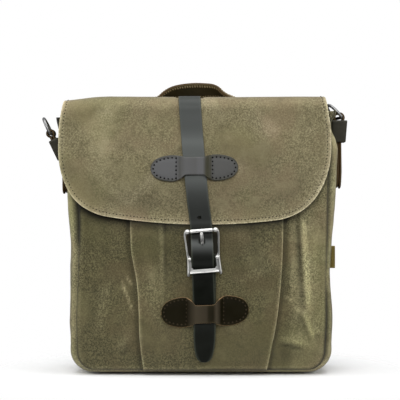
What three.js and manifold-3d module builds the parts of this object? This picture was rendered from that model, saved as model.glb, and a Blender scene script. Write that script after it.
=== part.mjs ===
// Waxed canvas shoulder bag with a flap, a closing strap, a roller buckle, a handle and two side rings.
// Millimetres, +Z up, the front faces -Y, and the origin is the middle of the flat base.
import * as THREE from 'three';
import { mergeVertices } from 'three/addons/utils/BufferGeometryUtils.js';
import Module from 'manifold-3d';

const wasm = await Module();
wasm.setup();

// Cloth and leather
const GAP = 0.3;
const CANVAS = 1.6;
const FLAP_CANVAS = 1.8;
const STRAP_LEATHER = 2.4;
const KEEPER_LEATHER = 2.0;
const CHAPE_LEATHER = 1.7;
const HANDLE_LEATHER = 3.0;
const SIDE_LEATHER = 2.6;
const SLEEVE_LEATHER = 2.2;
const TAB_LEATHER = 1.4;

// Bag body: the seams lie in two upright planes, and the gusset swells out past them
const SEAM_Y = 48;
const GUSSET_HALF_DEPTH = SEAM_Y - CANVAS / 2 - 0.5;
const CORNER_RADIUS = 26;
const SEAM_INSET = 9;
const SEAM_LIP = 1.2;
const FRONT_TOP = 262;
const BACK_TOP = 262;

// Half of the gusset's outline at each height, and how far the seams lie inside it; the right sleeve pinches it
const GUSSET_SIDES = [
  { z: 26, left: 134.0, right: 134.0, leftInset: SEAM_INSET, rightInset: SEAM_INSET },
  { z: 60, left: 134.8, right: 134.8, leftInset: SEAM_INSET, rightInset: SEAM_INSET },
  { z: 100, left: 134.2, right: 132.5, leftInset: SEAM_INSET, rightInset: 8 },
  { z: 130, left: 133.8, right: 133.5, leftInset: SEAM_INSET, rightInset: 8 },
  { z: 157, left: 135.8, right: 136.0, leftInset: 10, rightInset: SEAM_INSET },
  { z: 190, left: 137.5, right: 138.9, leftInset: SEAM_INSET, rightInset: 10.8 },
  { z: 222, left: 137.5, right: 140.0, leftInset: 4, rightInset: 10.4 },
  { z: 230, left: 137.8, right: 139.0, leftInset: 1.2, rightInset: 9.2 },
  { z: 238, left: 138.2, right: 135.2, leftInset: -1.6, rightInset: 5.2 },
  { z: 248, left: 138.7, right: 132.6, leftInset: -4.3, rightInset: 2.4 },
  { z: 262, left: 140.0, right: 132.4, leftInset: -6, rightInset: 2 },
  { z: 270, left: 140.0, right: 132.4, leftInset: -5, rightInset: 1.6 },
];

// Swell of the gusset across its depth: flat in the middle, round towards the seams
const GUSSET_SWELL = [
  { depth: -1.0, share: 0.0 },
  { depth: -0.96, share: 0.42 },
  { depth: -0.87, share: 0.8 },
  { depth: -0.68, share: 1.0 },
  { depth: 0.68, share: 1.0 },
  { depth: 0.87, share: 0.8 },
  { depth: 0.96, share: 0.42 },
  { depth: 1.0, share: 0.0 },
];

// Depth of the front panel's centre field at each height
const FRONT_LINE = [
  { z: 8, y: -52.4 },
  { z: 25, y: -55.0 },
  { z: 50, y: -57.0 },
  { z: 80, y: -58.0 },
  { z: 120, y: -58.0 },
  { z: 155, y: -57.4 },
  { z: 190, y: -56.0 },
  { z: 225, y: -54.4 },
  { z: 262, y: -52.6 },
  { z: 284, y: -52.4 },
];

// Pleats: the centre field's fold edges, which come closer together towards the bottom
const PLEAT_PITCH = 2.2;
const PLEAT_UNDERLAP = 9;
const PLEATS = [
  { z: 8, left: -58.5, right: 67.0 },
  { z: 28, left: -61.6, right: 71.5 },
  { z: 56, left: -63.0, right: 76.8 },
  { z: 76, left: -63.8, right: 79.4 },
  { z: 98, left: -65.8, right: 81.4 },
  { z: 126, left: -70.8, right: 83.0 },
  { z: 155, left: -71.9, right: 83.5 },
  { z: 262, left: -73.0, right: 84.0 },
];

// Soft folds of the front panel: place at the top and the bottom, depth, width and reach
const SOFT_FOLDS = [
  { topX: -38.5, bottomX: -37.0, topZ: 200, bottomZ: 84, inward: 1.1, width: 7 },
  { topX: 97.5, bottomX: 106.0, topZ: 200, bottomZ: 62, inward: 1.8, width: 6 },
  { topX: 112.0, bottomX: 110.0, topZ: 190, bottomZ: 40, inward: -1.4, width: 9 },
];

// Flap
const FLAP_TOP = 282;
const FLAP_BACK_END = 246;
const FLAP_BEND = 13;
const FLAP_BACK_Y = SEAM_Y + CANVAS / 2 + GAP + FLAP_CANVAS / 2;
const FLAP_OVER_PANEL = CANVAS / 2 + 0.4 + FLAP_CANVAS / 2;
const FLAP_EDGE_CURL = 4;
const FLAP_CURL_START = 92;
const FLAP_LEFT_DROP = 4;
const FLAP_SAG = 6.2;
const FLAP_CORNERS = {
  left: { x: -96, z: 229, across: 48.6, down: 68.4 },
  right: { x: 76.5, z: 233, across: 55.6, down: 73.5 },
};
const FLAP_SIDES = [
  { z: 228, left: -144.6, right: 132.0 },
  { z: 250, left: -144.3, right: 131.6 },
  { z: 266, left: -142.6, right: 129.3 },
  { z: 278, left: -140.6, right: 127.4 },
  { z: 284, left: -139.5, right: 126.4 },
];

// Closing strap: its middle and half width along its length, as it would lie from top to tip
const STRAP_HALF = 11.2;
const STRAP_BACK_END = 251;
const STRAP_LINE = [
  { z: 14, x: 3.2, half: 4.6 },
  { z: 16.5, x: 3.2, half: 6.8 },
  { z: 21.5, x: 3.3, half: 8.6 },
  { z: 28.5, x: 3.4, half: 10.0 },
  { z: 37, x: 3.5, half: 10.8 },
  { z: 53, x: 3.6, half: STRAP_HALF },
  { z: 98, x: 2.2, half: STRAP_HALF },
  { z: 150, x: 0.2, half: STRAP_HALF },
  { z: 178, x: -3.2, half: STRAP_HALF },
  { z: 202, x: -5.5, half: STRAP_HALF },
  { z: 239, x: -8.7, half: STRAP_HALF },
  { z: 282, x: -11.7, half: STRAP_HALF },
];

// The strap's depth below the flap: behind the roller, over the centre bar, behind the bottom bar
const STRAP_DEPTH = [
  { z: 14, y: -58.0 },
  { z: 16.5, y: -58.1 },
  { z: 21.5, y: -58.4 },
  { z: 28.5, y: -58.9 },
  { z: 37, y: -59.6 },
  { z: 48, y: -61.0 },
  { z: 58, y: -61.9 },
  { z: 72, y: -62.3 },
  { z: 84, y: -63.6 },
  { z: 92, y: -64.2 },
  { z: 103, y: -64.2 },
  { z: 109.2, y: -64.4 },
  { z: 111.5, y: -66.0 },
  { z: 114.5, y: -68.6 },
  { z: 118, y: -70.4 },
  { z: 121.5, y: -70.7 },
  { z: 127, y: -70.1 },
  { z: 134, y: -68.2 },
  { z: 141, y: -65.1 },
  { z: 145, y: -63.9 },
  { z: 149.5, y: -63.4 },
];
const SPARE_HOLE = { x: -1.4, z: 160.2, radius: 1.6 };
const PRONG_SLOT = { z: 131.9, half: 4.3, radius: 1.9 };

// Keepers: half height along half of their length, and where the bridge drops to the lobes
const KEEPER_BRIDGE_HALF = 13;
const KEEPER_FOOT = 19;
const KEEPER_OUTLINE = [
  { across: 0, bridge: 1, lobe: 0 },
  { across: 8, bridge: 1, lobe: 0 },
  { across: 10, bridge: 0.93, lobe: 0.07 },
  { across: 12, bridge: 0.62, lobe: 0.38 },
  { across: 14.5, bridge: 0.34, lobe: 0.66 },
  { across: 17, bridge: 0.18, lobe: 0.82 },
  { across: 19, bridge: 0.06, lobe: 0.94 },
  { across: 23, bridge: 0, lobe: 1.0 },
  { across: 28, bridge: 0, lobe: 0.965 },
  { across: 33, bridge: 0, lobe: 0.885 },
  { across: 38, bridge: 0, lobe: 0.74 },
  { across: 41, bridge: 0, lobe: 0.57 },
  { across: 43, bridge: 0, lobe: 0.36 },
  { across: 44, bridge: 0, lobe: 0.18 },
];
const KEEPERS = {
  upper: { x: -6.7, z: 210.3, lobeHalf: 13.4, bridgeHalf: 9.0, bridgeRise: 2.0, lean: 0.019 },
  lower: { x: 4.0, z: 64.6, lobeHalf: 15.2, bridgeHalf: 9.0, bridgeRise: -2.4, lean: 0.038 },
};

// Buckle: its own upright plane, leaning a little, with the centre bar set back
const BUCKLE = { x: 2.0, y: -67.5, z: 126, lean: THREE.MathUtils.degToRad(-4.5) };
const FRAME_THICK = 3.2;
const FRAME_HALF = 17.7;
const FRAME_SIDE = 2.6;
const FRAME_PLATE = 4.9;
const FRAME_TOP = 21.3;
const FRAME_FOOT = -24;
const FRAME_CORNER = 2.5;
const BOTTOM_BAR = { low: -21.8, high: -17.4 };
const CENTRE_BAR = { y: 1.8, z: -6.2, radius: 1.5 };
const BAR_LUG = { wide: 3.5, deep: 5, high: 4.2 };
const KNOB_RADIUS = 2.9;
const TOP_BAR_RADIUS = 1.3;
const ROLLER = { inner: 1.65, outer: 2.3, half: 11.4 };
const PRONG_RADIUS = 1.4;
const PRONG_EYE = { wall: 1.5, half: 1.7 };
const CHAPE = { x: 4.0, half: 11.0, frontEnd: 90, backEnd: 57, neck: 113.4, slotHalf: 2.4 };

// Handle: an arch over the flap's top that has rolled back, so its front edge is high, and twists at its right foot
const HANDLE_HALF = 11.5;
const HANDLE_ARCH = [
  { x: -68, y: 27, rise: 0, yaw: 0, tilt: 0 },
  { x: -54, y: 27, rise: 0.3, yaw: 0, tilt: 0 },
  { x: -45.5, y: 27, rise: 1.6, yaw: -2.5, tilt: 4 },
  { x: -39.8, y: 27.2, rise: 5.2, yaw: -6, tilt: 15 },
  { x: -32.5, y: 27.3, rise: 8.1, yaw: -8, tilt: 23 },
  { x: -22, y: 27.4, rise: 9.3, yaw: -5, tilt: 32 },
  { x: -8, y: 27.3, rise: 10, yaw: 0, tilt: 36.5 },
  { x: 6, y: 27.7, rise: 10.3, yaw: 11, tilt: 28 },
  { x: 15, y: 27.7, rise: 10.4, yaw: 15.5, tilt: 10.5 },
  { x: 21.3, y: 26.9, rise: 8.6, yaw: 19, tilt: -3.5 },
  { x: 26.3, y: 26.1, rise: 4.4, yaw: 24.5, tilt: -7.5 },
  { x: 32, y: 25.2, rise: 0.9, yaw: 25.7, tilt: -2 },
  { x: 38, y: 22.6, rise: 0.1, yaw: 26, tilt: 0 },
  { x: 46, y: 18.8, rise: 0, yaw: 26, tilt: 0 },
];

// Side fittings: the ring's bar, the lean of the strap and ring, the loop and the sleeve
const RING = { wire: 1.6, half: 13, arm: 4.5 };
const SIDE_HALF = 8.5;
const PLY_OFFSET = SIDE_LEATHER / 2 + 0.25;
const FITTINGS = {
  left: {
    side: -1,
    bar: { x: -157.3, z: 247.5 },
    lean: 25.5,
    ring: { lean: 25.5, yaw: 0 },
    eye: 3.5,
    sleeve: { top: -7, bottom: -29, flare: 0, loose: 0 },
    tail: 184.5,
  },
  right: {
    side: 1,
    bar: { x: 144.2, z: 263.8 },
    lean: 0.6,
    ring: { lean: -40, yaw: 12 },
    eye: 5,
    sleeve: { top: -2.6, bottom: -25.4, flare: 1.6, loose: 1.8 },
    tail: 190,
  },
};

// Small tab on the right gusset
const TAB = { y: 6, z: 118, half: 11.7, reach: 6.4 };

// Materials
function material(color, roughness, metalness = 0) {
  return new THREE.MeshStandardMaterial({ color, roughness, metalness });
}
const bodyCanvas = material(0x5f5940, 0.85);
const flapCanvas = material(0x7d7656, 0.85);
const blackLeather = material(0x26221f, 0.45);
const greyLeather = material(0x35322f, 0.55);
const brownLeather = material(0x4a3222, 0.55);
const nickel = material(0xc9c9c4, 0.2, 1);
const steel = material(0x77777a, 0.35, 1);

const bag = new THREE.Group();

function addPiece(name, geometry, pieceMaterial, parent = bag) {
  const mesh = new THREE.Mesh(geometry, pieceMaterial);
  mesh.name = name;
  parent.add(mesh);
  return mesh;
}

// Tables are read along a rising key column, with a smooth curve through the rows
function tableSlope(table, key, column, row) {
  const before = table[Math.max(row - 1, 0)];
  const after = table[Math.min(row + 1, table.length - 1)];
  return (after[column] - before[column]) / (after[key] - before[key]);
}

function read(table, key, column, at) {
  const place = THREE.MathUtils.clamp(at, table[0][key], table.at(-1)[key]);
  const row = Math.max(table.findIndex((entry) => entry[key] >= place), 1) - 1;
  const from = table[row];
  const to = table[row + 1];
  const span = to[key] - from[key];
  const t = (place - from[key]) / span;
  const start = (1 + 2 * t) * (1 - t) ** 2 * from[column];
  const end = t * t * (3 - 2 * t) * to[column];
  const startSlope = t * (1 - t) ** 2 * span * tableSlope(table, key, column, row);
  const endSlope = t * t * (t - 1) * span * tableSlope(table, key, column, row + 1);
  return start + end + startSlope + endSlope;
}

function closedGeometry(points, triangles) {
  let volume = 0;
  for (let i = 0; i < triangles.length; i += 3) {
    const [a, b, c] = [points[triangles[i]], points[triangles[i + 1]], points[triangles[i + 2]]];
    volume += a.dot(b.clone().cross(c));
  }
  const faces = volume > 0 ? triangles : triangles.toReversed();
  const geometry = new THREE.BufferGeometry().setFromPoints(points);
  geometry.setIndex(faces);
  return geometry;
}

function pushQuad(triangles, a, b, c, d) {
  triangles.push(a, b, c, a, c, d);
}

// A closed wall of even thickness round a grid of mid-surface points and their normals
function wall(grid, thickness) {
  const rows = grid.length;
  const columns = grid[0].length;
  const points = [];
  for (const side of [0.5, -0.5]) {
    for (const cell of grid.flat()) {
      points.push(cell.point.clone().addScaledVector(cell.normal, side * thickness));
    }
  }
  const back = rows * columns;
  const place = (i, j) => i * columns + j;
  const triangles = [];
  for (let i = 0; i + 1 < rows; i += 1) {
    for (let j = 0; j + 1 < columns; j += 1) {
      const quad = [place(i, j), place(i, j + 1), place(i + 1, j + 1), place(i + 1, j)];
      pushQuad(triangles, ...quad);
      pushQuad(triangles, ...quad.toReversed().map((k) => k + back));
    }
  }
  const rim = [];
  for (let j = 0; j < columns - 1; j += 1) rim.push(place(0, j));
  for (let i = 0; i < rows - 1; i += 1) rim.push(place(i, columns - 1));
  for (let j = columns - 1; j > 0; j -= 1) rim.push(place(rows - 1, j));
  for (let i = rows - 1; i > 0; i -= 1) rim.push(place(i, 0));
  rim.forEach((a, k) => {
    const b = rim[(k + 1) % rim.length];
    pushQuad(triangles, b, a, a + back, b + back);
  });
  return closedGeometry(points, triangles);
}

// A solid through a row of loops with equal counts, closed on itself or capped at both ends
function loft(loops, closed = false) {
  const count = loops[0].length;
  const points = loops.flat();
  const triangles = [];
  const spans = closed ? loops.length : loops.length - 1;
  for (let i = 0; i < spans; i += 1) {
    const next = (i + 1) % loops.length;
    for (let k = 0; k < count; k += 1) {
      const l = (k + 1) % count;
      pushQuad(triangles, i * count + k, i * count + l, next * count + l, next * count + k);
    }
  }
  if (!closed) {
    const end = (loops.length - 1) * count;
    for (let k = 1; k + 1 < count; k += 1) {
      triangles.push(0, k + 1, k);
      triangles.push(end, end + k, end + k + 1);
    }
  }
  return closedGeometry(points, triangles);
}

function tangents(points) {
  return points.map((point, i) => {
    const before = points[Math.max(i - 1, 0)];
    const after = points[Math.min(i + 1, points.length - 1)];
    return after.clone().sub(before).normalize();
  });
}

// A flat band along stations that each hold a point, a half width and the way across
function band(stations, thickness) {
  const directions = tangents(stations.map((station) => station.point));
  const loops = stations.map((station, i) => {
    const normal = directions[i].clone().cross(station.across).normalize();
    const corners = [[1, 1], [1, -1], [-1, -1], [-1, 1]];
    return corners.map(([wide, thick]) => station.point.clone()
      .addScaledVector(station.across, wide * station.half)
      .addScaledVector(normal, thick * thickness / 2));
  });
  return loft(loops);
}

function circleLoop(centre, axisA, axisB, radius, sides) {
  return Array.from({ length: sides }, (_, k) => {
    const turn = (k / sides) * 2 * Math.PI;
    return centre.clone()
      .addScaledVector(axisA, radius * Math.cos(turn))
      .addScaledVector(axisB, radius * Math.sin(turn));
  });
}

// Boolean joins and cuts
function toSolid(geometry) {
  const bare = geometry.clone();
  bare.deleteAttribute('normal');
  bare.deleteAttribute('uv');
  const merged = mergeVertices(bare.index ? bare.toNonIndexed() : bare, 1e-4);
  const vertProperties = new Float32Array(merged.attributes.position.array);
  const triVerts = new Uint32Array(merged.index.array);
  return new wasm.Manifold(new wasm.Mesh({ numProp: 3, vertProperties, triVerts }));
}

function toGeometry(solid) {
  const mesh = solid.getMesh();
  const geometry = new THREE.BufferGeometry();
  geometry.setAttribute('position', new THREE.BufferAttribute(mesh.vertProperties, 3));
  geometry.setIndex(new THREE.BufferAttribute(mesh.triVerts, 1));
  return geometry;
}

const vector = (x, y, z) => new THREE.Vector3(x, y, z);
const lerp = THREE.MathUtils.lerp;
const ease = (x, low, high) => THREE.MathUtils.smoothstep(x, low, high);

// The bag's outline seen from the front, as a path from the left top round the base to the right top
function gussetPath() {
  const stations = [];
  const sideHeights = GUSSET_SIDES.map((row) => row.z);
  const cornerSteps = 6;
  const baseSteps = 6;
  const low = CANVAS / 2;
  for (const z of sideHeights.toReversed()) {
    const x = -read(GUSSET_SIDES, 'z', 'left', z);
    stations.push({ x, z, nx: -1, nz: 0, inset: read(GUSSET_SIDES, 'z', 'leftInset', z) });
  }
  const corner = CORNER_RADIUS - low;
  const turn = (side, k) => {
    const angle = (k / cornerSteps) * Math.PI / 2;
    const edge = GUSSET_SIDES[0][side < 0 ? 'left' : 'right'] - corner;
    const x = side * (edge + corner * Math.cos(angle));
    const z = CORNER_RADIUS - corner * Math.sin(angle);
    stations.push({ x, z, nx: side * Math.cos(angle), nz: -Math.sin(angle), inset: SEAM_INSET });
  };
  for (let k = 1; k <= cornerSteps; k += 1) turn(-1, k);
  const left = stations.at(-1).x;
  const right = GUSSET_SIDES[0].right - corner;
  for (let k = 1; k < baseSteps; k += 1) {
    stations.push({ x: lerp(left, right, k / baseSteps), z: low, nx: 0, nz: -1, inset: SEAM_INSET });
  }
  for (let k = cornerSteps; k >= 1; k -= 1) turn(1, k);
  for (const z of sideHeights) {
    const x = read(GUSSET_SIDES, 'z', 'right', z);
    stations.push({ x, z, nx: 1, nz: 0, inset: read(GUSSET_SIDES, 'z', 'rightInset', z) });
  }
  return stations;
}

function makeGusset() {
  const grid = gussetPath().map((station) => GUSSET_SWELL.map((swell) => {
    const inset = station.inset * (1 - swell.share);
    const normal = vector(station.nx, 0, station.nz);
    const point = vector(station.x, swell.depth * GUSSET_HALF_DEPTH, station.z);
    return { point: point.addScaledVector(normal, -inset), normal };
  }));
  addPiece('gusset', wall(grid, CANVAS), bodyCanvas);
}

// Edge of the front and back walls at a height: on the seam, with a small lip past the gusset
function panelEdge(side, z) {
  const column = side < 0 ? 'left' : 'right';
  const inset = read(GUSSET_SIDES, 'z', `${column}Inset`, Math.max(z, GUSSET_SIDES[0].z)) - SEAM_LIP;
  const half = read(GUSSET_SIDES, 'z', column, Math.max(z, GUSSET_SIDES[0].z)) - inset;
  const radius = CORNER_RADIUS - SEAM_INSET + SEAM_LIP;
  const drop = Math.max(CORNER_RADIUS - z, 0);
  return side * (half - radius + Math.sqrt(Math.max(radius ** 2 - drop ** 2, 0)));
}

const PANEL_BOTTOM = SEAM_INSET - SEAM_LIP;

function panelHeights(top) {
  const cornerTurns = [0, 14, 28, 44, 60, 76];
  const radius = CORNER_RADIUS - PANEL_BOTTOM;
  const corner = cornerTurns.map((turn) => CORNER_RADIUS - radius * Math.cos(THREE.MathUtils.degToRad(turn)));
  const straight = [36, 52, 70, 90, 112, 134, 158, 184, 210, 236, top];
  return [...corner, ...straight];
}

function makeBackPanel() {
  const columns = 8;
  const grid = panelHeights(BACK_TOP).map((z) => Array.from({ length: columns + 1 }, (_, j) => {
    const x = lerp(panelEdge(-1, z), panelEdge(1, z), j / columns);
    return { point: vector(x, SEAM_Y, z), normal: vector(0, 1, 0) };
  }));
  addPiece('back_panel', wall(grid, CANVAS), bodyCanvas);
}

function softFold(x, z) {
  let inward = 0;
  for (const fold of SOFT_FOLDS) {
    const down = (fold.topZ - z) / (fold.topZ - fold.bottomZ);
    const reach = ease(down, -0.25, 0.1) * (1 - ease(down, 0.75, 1.1));
    const away = (x - lerp(fold.topX, fold.bottomX, down)) / fold.width;
    inward += fold.inward * reach * Math.exp(-away * away);
  }
  return inward;
}

// One level section of the front panel: side field, Z-fold, centre field, Z-fold, side field
function frontSection(z) {
  const centreY = read(FRONT_LINE, 'z', 'y', z);
  const underY = centreY + 2 * PLEAT_PITCH;
  const section = [];
  const sideField = (side, fold) => {
    const edge = panelEdge(side, z);
    const inner = fold - side * PLEAT_UNDERLAP;
    const shares = [0, 0.07, 0.18, 0.32, 0.48, 0.64, 0.8, 1];
    return shares.map((share) => {
      const x = lerp(edge, inner, share);
      const rise = Math.sin(Math.min(share * 1.5, 1) * Math.PI / 2);
      const soft = softFold(x, z) * ease(share, 0, 0.2) * (1 - ease(share, 0.62, 0.78));
      return { x, y: lerp(-SEAM_Y, underY, rise) + soft };
    });
  };
  const turnBack = (x, towards, y) => [30, 90, 150].map((turn) => {
    const angle = THREE.MathUtils.degToRad(turn);
    const radius = PLEAT_PITCH / 2;
    return { x: x + towards * radius * Math.sin(angle), y: y - radius + radius * Math.cos(angle) };
  });
  const pleat = (side, fold) => {
    const inner = fold - side * PLEAT_UNDERLAP;
    const under = turnBack(inner, -side, underY);
    const middle = { x: lerp(inner, fold, 0.5), y: centreY + PLEAT_PITCH };
    const over = turnBack(fold - side * PLEAT_PITCH, side, centreY + PLEAT_PITCH);
    return [...under, middle, ...over];
  };
  const leftFold = read(PLEATS, 'z', 'left', z);
  const rightFold = read(PLEATS, 'z', 'right', z);
  section.push(...sideField(-1, leftFold), ...pleat(-1, leftFold));
  const centreShares = [0.04, 0.14, 0.2, 0.26, 0.4, 0.6, 0.8, 0.96];
  for (const share of centreShares) {
    const x = lerp(leftFold, rightFold, share);
    section.push({ x, y: centreY + softFold(x, z) });
  }
  section.push(...pleat(1, rightFold).toReversed(), ...sideField(1, rightFold).toReversed());
  return section;
}

function withLevelNormals(section, z) {
  const points = section.map((place) => vector(place.x, place.y, z));
  return tangents(points).map((along, j) => {
    const edge = j === 0 || j === points.length - 1;
    const normal = edge ? vector(0, -1, 0) : vector(along.y, -along.x, 0);
    return { point: points[j], normal };
  });
}

function makeFrontPanel() {
  const grid = panelHeights(FRONT_TOP).map((z) => withLevelNormals(frontSection(z), z));
  addPiece('front_panel', wall(grid, CANVAS), bodyCanvas);
}

// Depth of the flap's middle surface where it hangs in front
const flapFrontY = (z) => read(FRONT_LINE, 'z', 'y', z) - FLAP_OVER_PANEL;

// Path of a layer that lies on the flap's centre line, from the back end over the top to a front height
function flapPath(offset, backEnd, frontHeights) {
  const bend = FLAP_BEND + offset;
  const frontTop = FLAP_TOP - FLAP_BEND;
  const backY = FLAP_BACK_Y - FLAP_BEND;
  const frontY = flapFrontY(frontTop) + FLAP_BEND;
  const bendTurns = [0, 22.5, 45, 67.5, 90];
  const path = [vector(0, FLAP_BACK_Y + offset, backEnd)];
  for (const turn of bendTurns) {
    const angle = THREE.MathUtils.degToRad(turn);
    path.push(vector(0, backY + bend * Math.cos(angle), frontTop + bend * Math.sin(angle)));
  }
  path.push(vector(0, lerp(backY, frontY, 0.5), FLAP_TOP + offset));
  for (const turn of bendTurns.toReversed()) {
    const angle = THREE.MathUtils.degToRad(turn);
    path.push(vector(0, frontY - bend * Math.cos(angle), frontTop + bend * Math.sin(angle)));
  }
  for (const z of frontHeights) path.push(vector(0, flapFrontY(z) - offset, z));
  return path;
}

const FLAP_FRONT_HEIGHTS = [256, 244];
const FLAP_CORNER_TURNS = [0, 12, 24, 36, 48, 59, 69, 78, 85, 90];

// The flap's two side edges on one row: straight sides, then the round lower corners
function flapRowEdges(z, turn) {
  if (turn === null) {
    return { left: read(FLAP_SIDES, 'z', 'left', z), right: read(FLAP_SIDES, 'z', 'right', z) };
  }
  const angle = THREE.MathUtils.degToRad(turn);
  const { left, right } = FLAP_CORNERS;
  return { left: left.x - left.across * Math.cos(angle), right: right.x + right.across * Math.cos(angle) };
}

function flapCornerZ(share, turn) {
  const fall = Math.sin(THREE.MathUtils.degToRad(turn));
  const { left, right } = FLAP_CORNERS;
  const edge = lerp(left.z - left.down * fall, right.z - right.down * fall, share);
  return edge - FLAP_SAG * fall ** 4 * (1 - (2 * share - 1) ** 2);
}

function makeFlap() {
  const columns = 20;
  const path = flapPath(0, FLAP_BACK_END, FLAP_FRONT_HEIGHTS);
  const normals = tangents(path).map((along) => vector(0, along.z, -along.y));
  const shares = Array.from({ length: columns + 1 }, (_, j) => j / columns);
  const sidePlace = (x, point, normal) => {
    const front = point.y < 0 ? 1 : 0;
    const curl = FLAP_EDGE_CURL * front * ease(Math.abs(x + 6), FLAP_CURL_START, 150);
    const drop = FLAP_LEFT_DROP * ease(-x, 90, 142) * ease(point.z, 246, 276);
    return { point: vector(x, point.y + curl, point.z - drop), normal };
  };
  const grid = path.map((point, i) => {
    const edges = flapRowEdges(point.z, null);
    return shares.map((share) => sidePlace(lerp(edges.left, edges.right, share), point, normals[i]));
  });
  for (const turn of FLAP_CORNER_TURNS) {
    const edges = flapRowEdges(null, turn);
    grid.push(shares.map((share) => {
      const x = lerp(edges.left, edges.right, share);
      const z = flapCornerZ(share, turn);
      return sidePlace(x, vector(x, flapFrontY(z), z), vector(0, -1, 0));
    }));
  }
  addPiece('flap', wall(grid, FLAP_CANVAS), flapCanvas);
}

// Closing strap over the flap and through the buckle
function stadiumCut(x, z, halfHeight, radius) {
  const shape = new THREE.Shape();
  const straight = halfHeight - radius;
  shape.absarc(0, straight, radius, 0, Math.PI, false);
  shape.absarc(0, -straight, radius, Math.PI, 2 * Math.PI, false);
  const cut = new THREE.ExtrudeGeometry(shape, { depth: 40, bevelEnabled: false, curveSegments: 6 });
  cut.rotateX(Math.PI / 2);
  cut.translate(x, -45, z);
  return toSolid(cut);
}

function makeCentreStrap() {
  const offset = FLAP_CANVAS / 2 + GAP + STRAP_LEATHER / 2;
  const onFlap = flapPath(offset, STRAP_BACK_END, [256, 244, 229, 214, 198, 184, 172, 163, 157]);
  const below = STRAP_DEPTH.toReversed().map((row) => vector(0, row.y, row.z));
  const stations = [...onFlap, ...below].map((point) => {
    const z = point.y > 0 ? STRAP_LINE.at(-1).z : point.z;
    const x = read(STRAP_LINE, 'z', 'x', z);
    const half = read(STRAP_LINE, 'z', 'half', z);
    return { point: vector(x, point.y, point.z), half, across: vector(1, 0, 0) };
  });
  const spare = stadiumCut(SPARE_HOLE.x, SPARE_HOLE.z, SPARE_HOLE.radius + 0.01, SPARE_HOLE.radius);
  const slotX = BUCKLE.x + Math.sin(BUCKLE.lean) * (PRONG_SLOT.z - BUCKLE.z);
  const slot = stadiumCut(slotX, PRONG_SLOT.z, PRONG_SLOT.half, PRONG_SLOT.radius);
  const strap = toSolid(band(stations, STRAP_LEATHER)).subtract(slot).subtract(spare);
  addPiece('centre_strap', toGeometry(strap), blackLeather);
}

// A dog-bone keeper on a surface whose depth is known at each height, bridging the strap
function makeKeeper(name, keeper, seatY, lift, pieceMaterial) {
  const half = KEEPER_OUTLINE.toReversed().map((row) => ({ ...row, across: -row.across }));
  const outline = [...half, ...KEEPER_OUTLINE.slice(1)];
  const rowShares = [-1, -0.5, 0, 0.5, 1];
  const grid = rowShares.map((share) => {
    const section = outline.map((row) => {
      const height = row.bridge * keeper.bridgeHalf + row.lobe * keeper.lobeHalf;
      const z = keeper.z + share * height + row.bridge * keeper.bridgeRise + row.across * keeper.lean;
      const rise = 1 - ease(Math.abs(row.across), KEEPER_BRIDGE_HALF, KEEPER_FOOT);
      const y = seatY(z) - GAP - KEEPER_LEATHER / 2 - lift * rise;
      return vector(keeper.x + row.across, y, z);
    });
    return tangents(section).map((along, j) => {
      const normal = vector(along.y, -along.x, 0).normalize();
      return { point: section[j], normal };
    });
  });
  addPiece(name, wall(grid, KEEPER_LEATHER), pieceMaterial);
}

// Chape: one strip folded round the centre bar, behind the strap, with a slot for the prong
function makeChape() {
  const barY = BUCKLE.y + CENTRE_BAR.y;
  const barZ = BUCKLE.z + CENTRE_BAR.z;
  const eye = CENTRE_BAR.radius + GAP + CHAPE_LEATHER / 2;
  const backPly = (z) => read(FRONT_LINE, 'z', 'y', z) - CANVAS / 2 - GAP - CHAPE_LEATHER / 2;
  const frontPly = (z) => backPly(z) - CHAPE_LEATHER - 0.2;
  const { frontEnd, backEnd, neck } = CHAPE;
  const path = [frontEnd, 104, 109].map((z) => ({ y: frontPly(z), z }));
  path.push({ y: -63.6, z: neck });
  for (const turn of [230, 200, 165, 130, 95, 60, 25, -10, -40]) {
    const angle = THREE.MathUtils.degToRad(turn);
    path.push({ y: barY + eye * Math.cos(angle), z: barZ + eye * Math.sin(angle) });
  }
  path.push({ y: -61.2, z: neck });
  path.push(...[107, 90, 72, backEnd].map((z) => ({ y: backPly(z), z })));
  const stations = path.map(({ y, z }) => {
    const lean = BUCKLE.lean * ease(z, CHAPE.frontEnd, barZ);
    const across = vector(Math.cos(lean), 0, -Math.sin(lean));
    return { point: vector(CHAPE.x, y, z), half: CHAPE.half, across };
  });
  const slotX = BUCKLE.x + Math.sin(BUCKLE.lean) * CENTRE_BAR.z;
  const slotBox = new THREE.BoxGeometry(2 * CHAPE.slotHalf, 20, 14);
  slotBox.translate(slotX, barY, barZ + 3.5);
  const chape = toSolid(band(stations, CHAPE_LEATHER)).subtract(toSolid(slotBox));
  addPiece('buckle_chape', toGeometry(chape), blackLeather);
}

function rod(radius, half, segments = 14) {
  const cylinder = new THREE.CylinderGeometry(radius, radius, 2 * half, segments);
  return cylinder.rotateZ(Math.PI / 2);
}

function tube(bore, outer, half, sides) {
  const section = [[bore, -half], [outer, -half], [outer, half], [bore, half], [bore, -half]];
  const geometry = new THREE.LatheGeometry(section.map(([r, h]) => new THREE.Vector2(r, h)), sides);
  return geometry.rotateZ(Math.PI / 2);
}

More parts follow.
